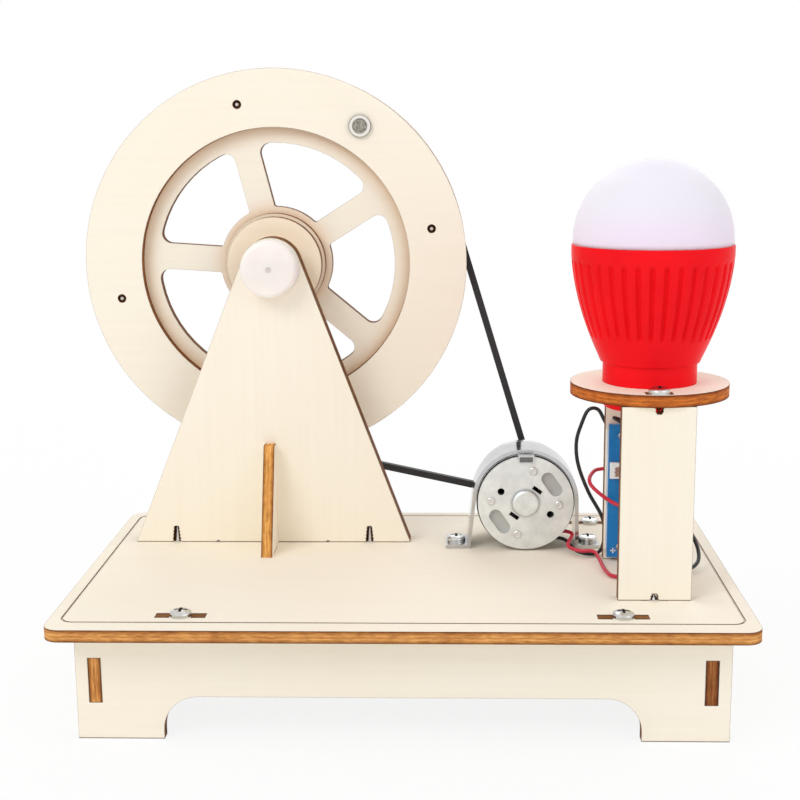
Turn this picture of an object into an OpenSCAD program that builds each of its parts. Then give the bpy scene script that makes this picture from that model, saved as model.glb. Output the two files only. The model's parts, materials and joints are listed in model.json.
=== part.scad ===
// Hand crank generator: a plywood wheel turns a small motor by a belt, and the motor lights a lamp.
// Millimetres. +X is to the right of the front view, +Y is away from it, +Z is up, and the feet
// stand on z = 0. The sizes below are measured from the middle of the base plate.

/* [Plywood] */
// Thickness of every plywood piece
ply = 3.6; // [3.2:0.1:4]
// Clearance round a tab in its slot, and round a screw in its hole
fit = 0.1; // [0.05:0.01:0.15]

/* [Base] */
// Width of the base plate
base_w = 200; // [195:1:220]
// Depth of the base plate, front to back
base_d = 120; // [116:1:140]
// Corner radius of the base plate
base_corner_r = 5; // [2:0.5:8]
// Height of the skirts that carry the base plate
skirt_h = 33.2; // [30:0.1:45]
// Overhang of the base plate past the front and rear skirts
skirt_inset = 10.5; // [9:0.1:12]
// Overhang of the base plate past the side skirts
side_inset = 10.2; // [9:0.1:12]
// Length by which the front and rear skirts run past the side skirts
skirt_end = 3.7; // [3:0.1:5]
// Height of the arch in each skirt
arch_h = 12.9; // [11:0.1:13.5]
// Corner radius of the arches
arch_r = 10; // [6:0.5:10.5]
// Length of a foot on the front and rear skirts
foot_len = 25; // [18:0.5:32]
// Length of a foot on the side skirts
side_foot_len = 20; // [14:0.5:26]
// Height of the tabs that join the side skirts to the front and rear ones
side_tab_h = 13.3; // [9:0.1:14]
// Height of the middle of those tabs
side_tab_z = 17.8; // [16.5:0.1:19]
// Distance from the middle of the plate to the screws in the front and rear skirts
skirt_screw_x = 62.8; // [58:0.1:66]
// Width over the two tabs beside each of those screws
skirt_tab_span = 14.3; // [13:0.1:16]
// Width of one of those tabs
skirt_tab_w = 4; // [3:0.1:4.5]
// Distance of the scored line from the side and rear edges of the plate
score_inset = 3.4; // [2.5:0.1:5]
// Distance of the scored line from the front edge of the plate
score_front = 6.4; // [4:0.1:8]
// Width of the scored line
score_w = 0.5; // [0.3:0.1:0.8]
// Depth of the scored line
score_depth = 0.3; // [0.2:0.1:0.5]

/* [Screws] */
// Diameter of the shank of a wood screw
screw_d = 2.2; // [2:0.1:2.4]
// Diameter of a pan head
screw_head_d = 6.2; // [5.5:0.1:6.6]
// Height of a pan head
screw_head_h = 2; // [1.6:0.1:2.4]
// Depth of the cross in a pan head
cross_depth = 0.9; // [0.6:0.1:1.1]
// Depth to which a screw bites into the edge of the stand
screw_bite = 5.2; // [4:0.1:5.6]
// Depth to which a screw bites into the edge of a skirt
skirt_bite = 2.8; // [2.2:0.1:3.2]
// Depth to which a screw bites into the edge of a pedestal plate
short_bite = 1.8; // [1.6:0.1:3]
// Depth of a tooth beside the screw in a screw notch
tooth = 0.3; // [0.2:0.05:0.4]
// Number of teeth on each side of a screw notch in the stand
teeth = 5; // [3:1:6]
// Amount by which the radius of a wood screw narrows to its tip
screw_taper = 0.6; // [0.4:0.05:0.7]

/* [Wheel stand] */
// Place of the stand and the wheel across the base plate
stand_x = -43.6; // [-46:0.1:-42]
// Distance from the front edge of the plate to the front of the stand
stand_front = 84; // [82:0.5:87]
// Distance of the middle of the stand's foot to the left of the axle
stand_lean = 1.6; // [0:0.1:3]
// Distance from the left edge of the plate to the stand's left corner
stand_margin = 8.8; // [7:0.1:14]
// Height of the axle above the base plate
axle_h = 92; // [88:0.5:104]
// Radius of the rounded top of the stand
stand_r = 9.6; // [8.5:0.1:12]
// Width of the tab under the stand
stand_tab_w = 35.7; // [28:0.1:40]
// Distance of the stand's screws from its corners
stand_screw_edge = 13.6; // [10:0.1:18]
// Radius of the relief holes at the roots of the tab
relief_r = 0.6; // [0.4:0.1:0.8]
// Height of the gusset in front of the stand
gusset_h = 33.8; // [28:0.1:40]
// Depth of the gusset at the base plate
gusset_foot = 17.4; // [15:0.1:22]
// Depth of the gusset at its top
gusset_top = 4; // [3:0.1:6]
// Length of the tab under the gusset
gusset_tab = 8; // [5:0.5:10]

/* [Wheel] */
// Radius of the wheel's rims
wheel_r = 63.3; // [62.8:0.1:66]
// Radius of the hole in the rims
rim_hole_r = 44.5; // [43:0.1:47]
// Radius of the bottom of the belt groove
groove_r = 59.6; // [57:0.1:60]
// Outer radius of the windows between the spokes
window_r = 39.5; // [36:0.1:42]
// Radius of the hub of the spoked disc
hub_r = 18.7; // [17.6:0.1:21]
// Width of a spoke
spoke_w = 8.6; // [7:0.1:10]
// Number of spokes
spokes = 5; // [4:1:6]
// Direction of the first spoke, from the right
spoke_angle = 104; // [0:1:359]
// Outer corner radius of a window
window_corner_r = 3.2; // [2:0.1:4]
// Inner corner radius of a window
window_inner_r = 1; // [0.6:0.1:1.5]
// Radius of the hub disc next to the stand
spacer_r = 15.6; // [13:0.1:16]
// Radius of the two hub discs on the spoked disc
hub_disc_r = 16.6; // [16.2:0.1:17.4]
// Radius of the circle of rim screws
bolt_r = 53; // [51:0.1:54]
// Direction of the first rim screw, from the right
bolt_angle = 12.3; // [0:0.1:90]
// Diameter of a rim screw
rim_screw_d = 2.2; // [1.8:0.1:2.4]
// Diameter of the head of a rim screw
rim_head_d = 4.6; // [4:0.1:5]
// Clearance round the tip of a rim screw in the front rim
rim_tip_gap = 0.3; // [0.2:0.05:0.4]

/* [Axle] */
// Diameter of the axle
axle_d = 5; // [4:0.1:6]
// Radial clearance of a turning shaft in its bush
shaft_gap = 0.05; // [0.03:0.01:0.08]
// Wall of the bush in the stand
bush_wall = 1.5; // [1.2:0.1:2]
// Radial clearance of a piece that is pressed on or into another
press_gap = 0.02; // [0.01:0.01:0.03]
// Clearance between a turning face and a standing one
face_gap = 0.3; // [0.25:0.05:0.5]
// Thickness of the washer between the stand and the wheel
washer_t = 1.6; // [1.2:0.1:2]
// Radius of that washer
washer_r = 6.5; // [5.5:0.1:8]
// Radius of the caps on the ends of the axle
cap_r = 9.2; // [8:0.1:9.4]
// Height of an axle cap
cap_h = 6.5; // [5.5:0.1:8]
// Radius of the rounded edge of an axle cap
cap_edge_r = 1.6; // [1:0.1:2.4]
// Length of the axle inside a cap
cap_hold = 4; // [3:0.1:4.5]

/* [Crank] */
// Diameter of the crank bolt
crank_d = 4; // [3:0.1:4.4]
// Diameter of the head of the crank bolt
crank_head_d = 7.2; // [6.6:0.1:9]
// Height of the head of the crank bolt
crank_head_h = 1; // [0.8:0.1:2]
// Height of the nuts on the crank bolt
nut_h = 2.8; // [2.2:0.1:3.4]
// Width of those nuts across the flats
nut_w = 7; // [6.6:0.1:8]
// Radial clearance of the grip on the crank bolt
grip_gap = 0.08; // [0.04:0.01:0.1]
// Length of the grip
grip_len = 30; // [24:0.5:40]
// Radius of the grip at its ends
grip_r = 5.2; // [5:0.1:6]
// Swell of the grip at its middle
grip_swell = 1; // [0.4:0.1:1.5]

/* [Belt] */
// Width and thickness of the square belt
belt_t = 2.2; // [2:0.1:2.5]
// Clearance of the belt in the grooves
belt_gap = 0.3; // [0.25:0.05:0.4]
// Radius of the bottom of the pulley's groove
pulley_groove_r = 2.9; // [2.2:0.1:3.2]
// Radius of the pulley's flanges
pulley_r = 6.2; // [5.9:0.1:7]
// Width of the pulley
pulley_w = 6; // [5.8:0.1:8]

/* [Motor] */
// Distance from the right edge of the plate to the motor's middle
motor_inset = 61.4; // [60.6:0.1:63]
// Radius of the motor
motor_r = 16; // [15.4:0.1:16.4]
// Length of the motor without its bosses
motor_len = 22.5; // [21.5:0.1:25]
// Clearance of the motor from the base plate and from the strap
motor_gap = 0.1; // [0.05:0.05:0.2]
// Wall of the motor can
can_wall = 1; // [0.8:0.1:1.2]
// Thickness of the motor's end cap
end_cap_t = 1.2; // [1:0.1:1.6]
// Step from the edge of the can in to the edge of the end cap
end_cap_step = 0.5; // [0.3:0.05:0.6]
// Gap between the end cap and the can
end_cap_gap = 0.35; // [0.2:0.05:0.5]
// Radius of the bosses that hold the motor bushes
boss_r = 4.35; // [4:0.05:4.6]
// Height of those bosses
boss_h = 1.6; // [1.4:0.1:2.2]
// Radius of the motor bushes
motor_bush_r = 3; // [2.4:0.1:3.2]
// Length of the motor bushes
motor_bush_len = 2.6; // [2.2:0.1:3]
// Diameter of the motor shaft
motor_shaft_d = 2; // [1.5:0.1:2.3]
// Thickness of the card behind the end cap
card_t = 1.6; // [1.2:0.1:2]
// Radius of the armature
armature_r = 12.2; // [11:0.1:12.4]
// Length of the armature
armature_len = 9; // [7:0.5:10]
// Clearance between the armature and the magnets
air_gap = 0.4; // [0.3:0.05:0.6]
// Radius of the commutator
commutator_r = 2.8; // [2.4:0.1:3.2]
// Length of the commutator
commutator_len = 4; // [3.5:0.1:4.4]
// Width of the folded lug at the top of the can
lug_w = 5.2; // [4:0.1:7]
// Length of the folded lug
lug_len = 2.6; // [2:0.1:3.2]

/* [Motor strap] */
// Width of the strap, front to back
strap_w = 12; // [10:0.1:14]
// Thickness of the strap
strap_t = 1.2; // [0.8:0.1:1.4]
// Length of a foot of the strap
strap_foot = 6.8; // [6.8:0.1:8]
// Distance by which the left leg of the strap leans out at its foot
left_splay = 1.8; // [0.3:0.1:2.4]
// Distance by which the right leg of the strap leans out at its foot
right_splay = 0.3; // [0.3:0.1:2.4]
// Distance from the motor's front face to the strap
strap_set = 2.2; // [2:0.1:2.8]

/* [Lamp stand] */
// Distance from the right edge of the plate to the lamp stand's middle
ped_inset = 26.5; // [25:0.1:27.4]
// Width of the lamp stand
ped_w = 21.2; // [19:0.1:22]
// Height of the lamp stand's plates
ped_h = 57.6; // [54:0.1:75]
// Distance from the front edge of the base plate to the front plate
ped_front = 26.2; // [22:0.1:28]
// Depth over the two plates
ped_d = 43.6; // [42.4:0.1:46]
// Width over the two tabs on the edge of a plate
ped_tab_span = 7.6; // [7.2:0.1:9]
// Width of one of those tabs
ped_tab_w = 2; // [1.6:0.1:2.2]
// Radius of the round top of the lamp stand
disc_r = 23.4; // [23:0.1:26]

/* [Lamp] */
// Radius of the lamp's neck
neck_r = 13.9; // [13.8:0.1:14.6]
// Height of the lamp's neck
neck_h = 6.1; // [4:0.1:7]
// Radius of the tail that goes through the round top
tail_r = 13.5; // [12:0.1:13.5]
// Length of the tail below the round top
tail_below = 3.8; // [2:0.1:4.4]
// Radius of the lamp just above the neck
bowl_r = 14.9; // [14.7:0.1:16.5]
// Radius of the lamp at the joint with the dome
lamp_r = 23.7; // [22.5:0.1:25]
// Height of that joint above the round top
lamp_h = 40.8; // [38:0.1:46]
// Radius of the dome
dome_r = 23.3; // [22.2:0.1:23.4]
// Height of the straight part of the dome
dome_skirt = 1.4; // [1:0.1:4]
// Wall of the lamp body and the dome
lamp_wall = 1.6; // [1.2:0.1:2]
// Thickness of the lamp's light board
led_board_t = 1.6; // [1:0.1:2]
// Number of lights in the ring on the light board
leds = 8; // [6:1:10]

/* [Regulator] */
// Width of the regulator board
board_w = 18.5; // [17.5:0.1:19]
// Height of the regulator board
board_h = 43; // [42:0.1:46]
// Thickness of the regulator board
board_t = 1.6; // [1:0.1:1.8]
// Height of the board above the base plate
board_z = 1.4; // [1:0.1:3]
// Distance of the board from the left edge of the rear plate
board_set = 0.9; // [0.7:0.1:1.8]
// Thickness of the tape behind the board
tape_t = 1; // [0.8:0.1:1.2]
// Height of a solder pad
pad_t = 0.4; // [0.3:0.05:0.6]
// Radius of a solder pad
pad_r = 1.3; // [1:0.1:1.6]
// Diameter of a wire
wire_d = 1.2; // [1:0.1:1.4]

/* [Hidden] */
$fn = 64;
over = 1;
motor_x = base_w / 2 - motor_inset;
ped_x = base_w / 2 - ped_inset;
foot_x = stand_x - stand_lean;
stand_w = 2 * (foot_x + base_w / 2 - stand_margin);
stand_screw_x = stand_w / 2 - stand_screw_edge;

// Heights and places on the base
base_z = skirt_h + ply;
front_y = -base_d / 2;
skirt_y = front_y + skirt_inset;
side_x = base_w / 2 - side_inset;
skirt_len = 2 * (side_x + skirt_end);
notch_w = screw_d + 2 * fit + 2 * tooth;
screw_hole_d = screw_d + 2 * fit;
notch_spare = 0.6;

// Places along the axle, from the stand to the back of the wheel
stand_y = front_y + stand_front;
stand_back_y = stand_y + 2 * ply;
axle_z = base_z + axle_h;
washer_y = stand_back_y + face_gap;
spacer_y = washer_y + washer_t;
rim_y = spacer_y + ply;
spoke_y = rim_y + ply;
rear_rim_y = spoke_y + ply;
wheel_back_y = rear_rim_y + ply;
belt_y = spoke_y + ply / 2;
cap_front_y = stand_y - face_gap;
hub_bore_r = axle_d / 2 + press_gap;
bush_r = axle_d / 2 + shaft_gap + bush_wall;

// Places along the crank bolt
crank_angle = bolt_angle + 45;
grip_y = wheel_back_y + nut_h + face_gap;
lock_nut_y = grip_y + grip_len + face_gap;
crank_end_y = lock_nut_y + nut_h + 0.7;
crank_hole_d = crank_d + 2 * fit;
rim_hole_d = rim_screw_d + 2 * fit;
rim_tip_d = rim_screw_d + 2 * rim_tip_gap;
rim_head_h = 1.6;

// Places along the motor
motor_z = base_z + motor_r + motor_gap;
pulley_y = belt_y - pulley_w / 2;
motor_back_y = pulley_y - face_gap - boss_h;
motor_front_y = motor_back_y - motor_len;
card_y = motor_front_y + end_cap_t;
can_y = card_y + end_cap_gap;
brush_y = card_y + card_t;
strap_y = motor_front_y + strap_set;
strap_r = motor_r + motor_gap;
function splay(s) = s < 0 ? left_splay : right_splay;
function strap_screw_x(s) = s * (strap_r + strap_t + splay(s) + strap_foot / 2);
shaft_r = motor_shaft_d / 2;
front_bush_y = motor_front_y - boss_h + 0.8;
rear_bush_y = motor_back_y + boss_h - motor_bush_len;
commutator_y = brush_y - 0.4;
armature_y = commutator_y + commutator_len;
magnet_r = armature_r + air_gap;
pole_shoe = 2;
hub_core_r = 4;
coil_over = 1.2;
pole_w = 4;
coil_w = 2.3;
terminal_t = 0.6;
terminal_y = card_y + card_t;
terminal_len = 4.2;
terminal_w = 1.4;
terminal_r = motor_r - 0.5;
red_terminal_z = 0.65 * motor_r;
black_terminal_z = 0.79 * motor_r;
terminal_run = 2;

// Places on the lamp stand
ped_y = front_y + ped_front;
ped_rear_y = ped_y + ped_d - ply;
ped_mid_y = ped_y + ped_d / 2;
disc_z = base_z + ped_h;
lamp_z = disc_z + ply;
tail_z = -ply - tail_below;
ledge = 1.5;
board_x = ped_x - ped_w / 2 + board_set;
board_y = ped_rear_y - tape_t - board_t;
board_bottom = base_z + board_z;
pad_left = 4;
pad_right = 14.5;
pad_low = 3.4;

// The origin is under the middle of the whole object's box
box_x = (stand_x - wheel_r + base_w / 2) / 2;
box_y = (front_y + crank_end_y) / 2;

// Wire ends: the two motor terminals, the four pads, and the two points under the lamp's tail
function terminal_x(z) = sqrt(terminal_r * terminal_r - z * z);
function terminal_end(z) = [motor_x + terminal_x(z), terminal_y + terminal_t / 2, motor_z - z];
function pad_end(x, z) = [board_x + x, board_y - pad_t, board_bottom + z];
function tail_end(x) = [ped_x + x, ped_mid_y, disc_z - tail_below];
pad_high = board_h - pad_low;
pad_run = 4.4;
tail_run = 3.5;

// Wire routes: points from the foot of the rear plate of the lamp stand, between the wire ends
motor_red_way = [
    [-19.6, 9.8, 5.1], [-21.4, 4.2, 3.1], [-18, 1.4, 2.3], [-13.7, -0.4, 2.7], [-12.5, -5.2, 1.9], [-11.6, -14.1, 1.1],
    [-9.9, -19.4, 0.8], [-6.5, -21.2, 1.3], [-2.5, -20.8, 3], [-2, -14.7, 4.4]
];
motor_black_way = [
    [-21.7, 10.2, 3.1], [-19.2, 5.1, 1.6], [-17.1, 2.6, 1.2], [-14.1, 2.2, 0.9], [-11.6, 4.1, 1], [-10.2, 5.3, 2.7],
    [-9.6, 5.7, 7], [-10.6, 5.8, 12.6], [-15, 5.8, 20.6], [-18.4, 5.8, 29.6], [-19.1, 5.8, 37], [-17.5, 5.8, 43.1], [-15.4, 5.8, 47.5],
    [-12.4, 5.8, 47.6], [-10, 5.6, 43.5], [-5, 5.4, 35], [3, 5.4, 23], [12, 4.4, 13.6], [17.6, -3, 7.6],
    [17.6, -11.4, 3], [12, -16.6, 1.6], [7, -13.4, 3.4]
];
lamp_red_way = [
    [3.5, -12, 31], [-1.5, -9.8, 20.7], [-7.5, -5.8, 19.7], [-15, -1.7, 24.8], [-13.5, 4.4, 27.8],
    [-7.5, 7.2, 29], [2.5, 7.4, 37], [10.4, 6.4, 42], [13.8, 2.4, ped_h - 11.8], [10.1, -5, ped_h - 10.8],
    [5, -15.3, ped_h - 9]
];
lamp_black_way = [
    [-2.9, -10.1, ped_h - 12], [-10, -16.5, ped_h - 8], [-7.2, -20.5, ped_h - 8.9], [-4.7, -20.3, ped_h - 9]
];
lead_foot = [ped_x, ped_rear_y, base_z];
function along(way) = [for (p = way) lead_foot + p];
red_start = terminal_end(red_terminal_z);
black_start = terminal_end(black_terminal_z);
motor_red_route = concat([red_start, red_start + [terminal_run, 0, 0]], along(motor_red_way),
    [pad_end(pad_left, pad_low) - [0, pad_run, 0], pad_end(pad_left, pad_low)]);
motor_black_route = concat([black_start, black_start + [terminal_run, 0, 0]], along(motor_black_way),
    [pad_end(pad_right, pad_low) - [0, pad_run, 0], pad_end(pad_right, pad_low)]);
lamp_red_route = concat([pad_end(pad_right, pad_high), pad_end(pad_right, pad_high) - [0, pad_run, 0]],
    along(lamp_red_way), [tail_end(3.5) - [0, 0, tail_run], tail_end(3.5)]);
lamp_black_route = concat([pad_end(pad_left, pad_high), pad_end(pad_left, pad_high) - [0, pad_run, 0]],
    along(lamp_black_way), [tail_end(-3.5) - [0, 0, tail_run], tail_end(-3.5)]);
end_run = 0.5;
tube_sides = 8;
steps_per_span = 2;

// Points of an arc about c, from angle a0 to a1 in n steps
function arc(c, r, a0, a1, n) =
    [for (i = [0:n]) let (a = a0 + (a1 - a0) * i / n) [c[0] + r * cos(a), c[1] + r * sin(a)]];

// Point at t on a cubic curve with four control points
function bezier(p, t) =
    pow(1 - t, 3) * p[0] + 3 * t * pow(1 - t, 2) * p[1] + 3 * t * t * (1 - t) * p[2] + pow(t, 3) * p[3];

// Point at t between b and c on a smooth curve through a, b, c and d
function smooth(a, b, c, d, t) =
    0.5 * (2 * b + (c - a) * t + (2 * a - 5 * b + 4 * c - d) * t * t + (3 * b - 3 * c + d - a) * t * t * t);

// A route made smooth, with the end spans kept straight at the ends
function smooth_route(p) = let (m = len(p) - 1) concat(
    [for (i = [0:m - 1]) for (k = [0:steps_per_span - 1])
        smooth(i > 0 ? p[i - 1] : 2 * p[0] - p[1], p[i], p[i + 1],
               i < m - 1 ? p[i + 2] : 2 * p[m] - p[m - 1], k / steps_per_span)],
    [p[m]]);

function unit(v) = v / norm(v);

// Direction of a route at its point i, square to the faces at its two ends
function heading(p, i) = let (m = len(p) - 1)
    i == 0 ? unit(p[1] - p[0]) : i == m ? unit(p[m] - p[m - 1]) : unit(unit(p[i + 1] - p[i]) + unit(p[i] - p[i - 1]));

// Sideways directions along a route, each turned as little as can be from the one before
function sideways(p, i) = let (h = heading(p, i), s = i == 0 ? [h[2], h[0], h[1]] : sideways(p, i - 1))
    unit(s - (s * h) * h);

// Right and left belt tangents: outline round two pulleys with radii a at the wheel and b at the motor
function belt_outline(a, b) = let (
    from = [stand_x, axle_z], to = [motor_x, motor_z], d = to - from,
    turn = atan2(d[1], d[0]), lean = acos((a - b) / norm(d)))
    concat(arc(from, a, turn + lean, turn - lean + 360, 90), arc(to, b, turn - lean, turn + lean, 18));

module in_frame() { translate([-box_x, -box_y, 0]) children(); }

// Plate drawn in x and z, with its front face at y and its thickness behind it
module upright(y, t) { translate([0, y + t, 0]) rotate([90, 0, 0]) linear_extrude(t) children(); }

// Plate drawn in y and z, with its left face at x and its thickness to the right of it
module sideways_plate(x, t) { translate([x, 0, 0]) rotate([90, 0, 90]) linear_extrude(t) children(); }

// Turned piece whose axis runs back from y
module along_y(y) { translate([0, y, 0]) rotate([-90, 0, 0]) children(); }

module at_axle() { translate([stand_x, 0, axle_z]) children(); }
module at_motor() { translate([motor_x, 0, motor_z]) children(); }
module at_lamp() { translate([ped_x, ped_mid_y, lamp_z]) children(); }

// Places a child at the crank bolt, in the wheel's own plane
module at_crank() {
    translate([stand_x + bolt_r * cos(crank_angle), 0, axle_z + bolt_r * sin(crank_angle)]) children();
}

module rounded_rect(w, d, r) {
    polygon(concat(
        arc([w / 2 - r, d / 2 - r], r, 0, 90, 8), arc([r - w / 2, d / 2 - r], r, 90, 180, 8),
        arc([r - w / 2, r - d / 2], r, 180, 270, 8), arc([w / 2 - r, r - d / 2], r, 270, 360, 8)));
}

module ring(outer, inner) {
    difference() {
        circle(outer);
        circle(inner);
    }
}

// Two tabs side by side with a screw between them, drawn from the edge upwards
module tab_pair(span, w, h) {
    for (s = [-1, 1]) translate([s * (span - w) / 2 - w / 2, -over]) square([w, h + over]);
}

// The slots for such a pair of tabs, seen along the tabs
module tab_pair_slots(span, w) {
    for (s = [-1, 1]) translate([s * (span - w) / 2, 0]) square([w + 2 * fit, ply + 2 * fit], center = true);
}

// Notch with saw teeth for a wood screw, drawn from the edge inwards
module screw_notch(bite) {
    h = bite + notch_spare;
    count = max(2, round(teeth * h / (screw_bite + notch_spare)));
    pitch = h / count;
    right = [for (i = [0:count - 1]) each [
        [notch_w / 2 - screw_taper * i / count, i * pitch],
        [notch_w / 2 - screw_taper * (i + 0.8) / count - tooth, (i + 0.8) * pitch]]];
    left = [for (i = [len(right) - 1:-1:0]) [-right[i][0], right[i][1]]];
    polygon(concat([[notch_w / 2, -over]], right, left, [[-notch_w / 2, -over]]));
}

// Pan-head wood screw, head up, with the underside of its head at z = 0, tapered where it bites
module pan_screw(len, d = screw_d, head_d = screw_head_d, head_h = screw_head_h, bite = 0) {
    tip = 0.8;
    rise = head_h * 0.45;
    end_r = bite > 0 ? d / 2 - screw_taper : d / 2;
    difference() {
        rotate_extrude() polygon(concat(
            [[0, -len], [bite > 0 ? 0.2 : d / 2 - 0.6, -len], [end_r, tip - len]],
            bite > 0 ? [[d / 2, bite - len]] : [], [[d / 2, 0], [head_d / 2, 0]],
            [for (a = [0:15:90]) [head_d / 2 * cos(a) * (a < 90 ? 1 : 0), rise + (head_h - rise) * sin(a)]]));
        for (a = [0, 90]) rotate(a) translate([-head_d * 0.3, -0.4, head_h - cross_depth])
            cube([head_d * 0.6, 0.8, cross_depth + over]);
    }
}

// Arch cut in the lower edge of a skirt
module arch(w) {
    polygon(concat([[-w / 2, -over], [w / 2, -over]],
        arc([w / 2 - arch_r, arch_h - arch_r], arch_r, 0, 90, 12),
        arc([arch_r - w / 2, arch_h - arch_r], arch_r, 90, 180, 12)));
}

module base_plate() {
    skirt_mid = -skirt_y - ply / 2;
    score_d = base_d - score_inset - score_front;
    score_r = base_corner_r - 1;
    color("bisque") in_frame() difference() {
        translate([0, 0, skirt_h]) linear_extrude(ply) difference() {
            rounded_rect(base_w, base_d, base_corner_r);
            for (sx = [-1, 1]) for (sy = [-1, 1]) translate([sx * skirt_screw_x, sy * skirt_mid])
                tab_pair_slots(skirt_tab_span, skirt_tab_w);
            translate([foot_x, stand_y + ply]) square([stand_tab_w + 2 * fit, 2 * ply + 2 * fit], center = true);
            translate([foot_x, stand_y - gusset_foot / 2]) square([ply + 2 * fit, gusset_tab + 2 * fit], center = true);
            for (y = [ped_y, ped_rear_y]) translate([ped_x, y + ply / 2]) tab_pair_slots(ped_tab_span, ped_tab_w);
        }
        for (sx = [-1, 1]) {
            for (sy = [-1, 1]) translate([sx * skirt_screw_x, sy * skirt_mid, 0]) screw_hole();
            translate([foot_x + sx * stand_screw_x, stand_y + ply / 2, 0]) screw_hole();
            translate([motor_x + strap_screw_x(sx), strap_y + strap_w / 2, 0]) screw_hole();
        }
        for (y = [ped_y, ped_rear_y]) translate([ped_x, y + ply / 2, 0]) screw_hole();
        translate([0, (score_front - score_inset) / 2, base_z - score_depth]) linear_extrude(score_depth + over) difference() {
            rounded_rect(base_w - 2 * score_inset, score_d, score_r);
            rounded_rect(base_w - 2 * score_inset - 2 * score_w, score_d - 2 * score_w, score_r - score_w);
        }
    }
}

// Hole for a wood screw through the base plate
module screw_hole() { translate([0, 0, skirt_h - over]) cylinder(d = screw_hole_d, h = ply + 2 * over); }

// Outline of the front and rear skirts
module long_skirt() {
    difference() {
        union() {
            translate([-skirt_len / 2, 0]) square([skirt_len, skirt_h]);
            for (s = [-1, 1]) translate([s * skirt_screw_x, skirt_h]) tab_pair(skirt_tab_span, skirt_tab_w, ply);
        }
        arch(skirt_len - 2 * foot_len);
        for (s = [-1, 1]) {
            translate([s * (side_x - ply / 2), side_tab_z]) square([ply + 2 * fit, side_tab_h + 2 * fit], center = true);
            translate([s * skirt_screw_x, skirt_h]) mirror([0, 1]) screw_notch(skirt_bite);
        }
    }
}

module front_skirt() { color("bisque") in_frame() upright(skirt_y, ply) long_skirt(); }
module rear_skirt() { color("bisque") in_frame() upright(-skirt_y - ply, ply) long_skirt(); }

// Outline of the side skirts, with a tab at each end
module short_skirt() {
    inner = -2 * (skirt_y + ply);
    difference() {
        union() {
            translate([-inner / 2, 0]) square([inner, skirt_h]);
            translate([0, side_tab_z]) square([inner + 2 * ply, side_tab_h], center = true);
        }
        arch(inner - 2 * side_foot_len);
    }
}

module left_skirt() { color("bisque") in_frame() sideways_plate(-side_x, ply) short_skirt(); }
module right_skirt() { color("bisque") in_frame() sideways_plate(side_x - ply, ply) short_skirt(); }

module base_screws() {
    color("silver") in_frame() for (sx = [-1, 1]) for (sy = [-1, 1])
        translate([sx * skirt_screw_x, sy * (skirt_y + ply / 2), base_z]) pan_screw(ply + skirt_bite, bite = skirt_bite);
}

// Outline of one ply of the stand, with the axle at its own origin
module stand_outline() {
    right = stand_w / 2 - stand_lean;
    left = stand_w / 2 + stand_lean;
    right_side = atan2(-axle_h, right) + acos(stand_r / norm([right, axle_h]));
    left_side = atan2(-axle_h, left) + acos(stand_r / norm([left, axle_h]));
    difference() {
        union() {
            polygon(concat([[-left, -axle_h], [right, -axle_h]], arc([0, 0], stand_r, right_side, 180 - left_side, 24)));
            translate([-stand_lean - stand_tab_w / 2, -axle_h - ply]) square([stand_tab_w, ply + over]);
        }
        for (s = [-1, 1]) translate([s * (stand_tab_w / 2 + relief_r) - stand_lean, -axle_h]) circle(relief_r);
        circle(bush_r + press_gap);
    }
}

module stand_front_ply() {
    color("bisque") in_frame() at_axle() upright(stand_y, ply) difference() {
        stand_outline();
        for (s = [-1, 1]) translate([s * stand_screw_x - stand_lean, -axle_h]) screw_notch(screw_bite);
    }
}

module stand_rear_ply() { color("bisque") in_frame() at_axle() upright(stand_y + ply, ply) stand_outline(); }

module stand_gusset() {
    foot_y = stand_y - gusset_foot;
    color("bisque") in_frame() sideways_plate(foot_x - ply / 2, ply) union() {
        polygon([[foot_y, base_z], [stand_y, base_z], [stand_y, base_z + gusset_h], [stand_y - gusset_top, base_z + gusset_h]]);
        translate([stand_y - gusset_foot / 2 - gusset_tab / 2, skirt_h]) square([gusset_tab, ply + over]);
    }
}

module stand_screws() {
    color("silver") in_frame() for (s = [-1, 1])
        translate([foot_x + s * stand_screw_x, stand_y + ply / 2, skirt_h]) mirror([0, 0, 1])
            pan_screw(ply + screw_bite, bite = screw_bite);
}

module axle_bush() {
    color("ivory") in_frame() at_axle() upright(stand_y, 2 * ply) ring(bush_r, axle_d / 2 + shaft_gap);
}

module axle() {
    front = cap_front_y - cap_hold;
    back = wheel_back_y + cap_hold;
    color("silver") in_frame() at_axle() along_y(front) cylinder(d = axle_d, h = back - front);
}

// Cap on the end of the axle, with its mouth at z = 0 and a small mark in the middle of its face
module axle_cap() {
    mark_r = 0.7;
    mark_depth = 0.3;
    difference() {
        rotate_extrude() polygon(concat([[0, 0], [cap_r, 0]],
            arc([cap_r - cap_edge_r, cap_h - cap_edge_r], cap_edge_r, 0, 90, 8), [[0, cap_h]]));
        translate([0, 0, -over]) cylinder(r = hub_bore_r, h = cap_hold + press_gap + over);
        translate([0, 0, cap_h - mark_depth]) cylinder(r = mark_r, h = over);
    }
}

module front_axle_cap() { color("snow") in_frame() at_axle() along_y(cap_front_y) mirror([0, 0, 1]) axle_cap(); }
module rear_axle_cap() { color("snow") in_frame() at_axle() along_y(wheel_back_y) axle_cap(); }
module axle_washer() { color("snow") in_frame() at_axle() upright(washer_y, washer_t) ring(washer_r, hub_bore_r); }
module hub_spacer_disc() { color("bisque") in_frame() at_axle() upright(spacer_y, ply) ring(spacer_r, hub_bore_r); }
module front_hub_disc() { color("bisque") in_frame() at_axle() upright(rim_y, ply) ring(hub_disc_r, hub_bore_r); }
module rear_hub_disc() { color("bisque") in_frame() at_axle() upright(rear_rim_y, ply) ring(hub_disc_r, hub_bore_r); }

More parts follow.
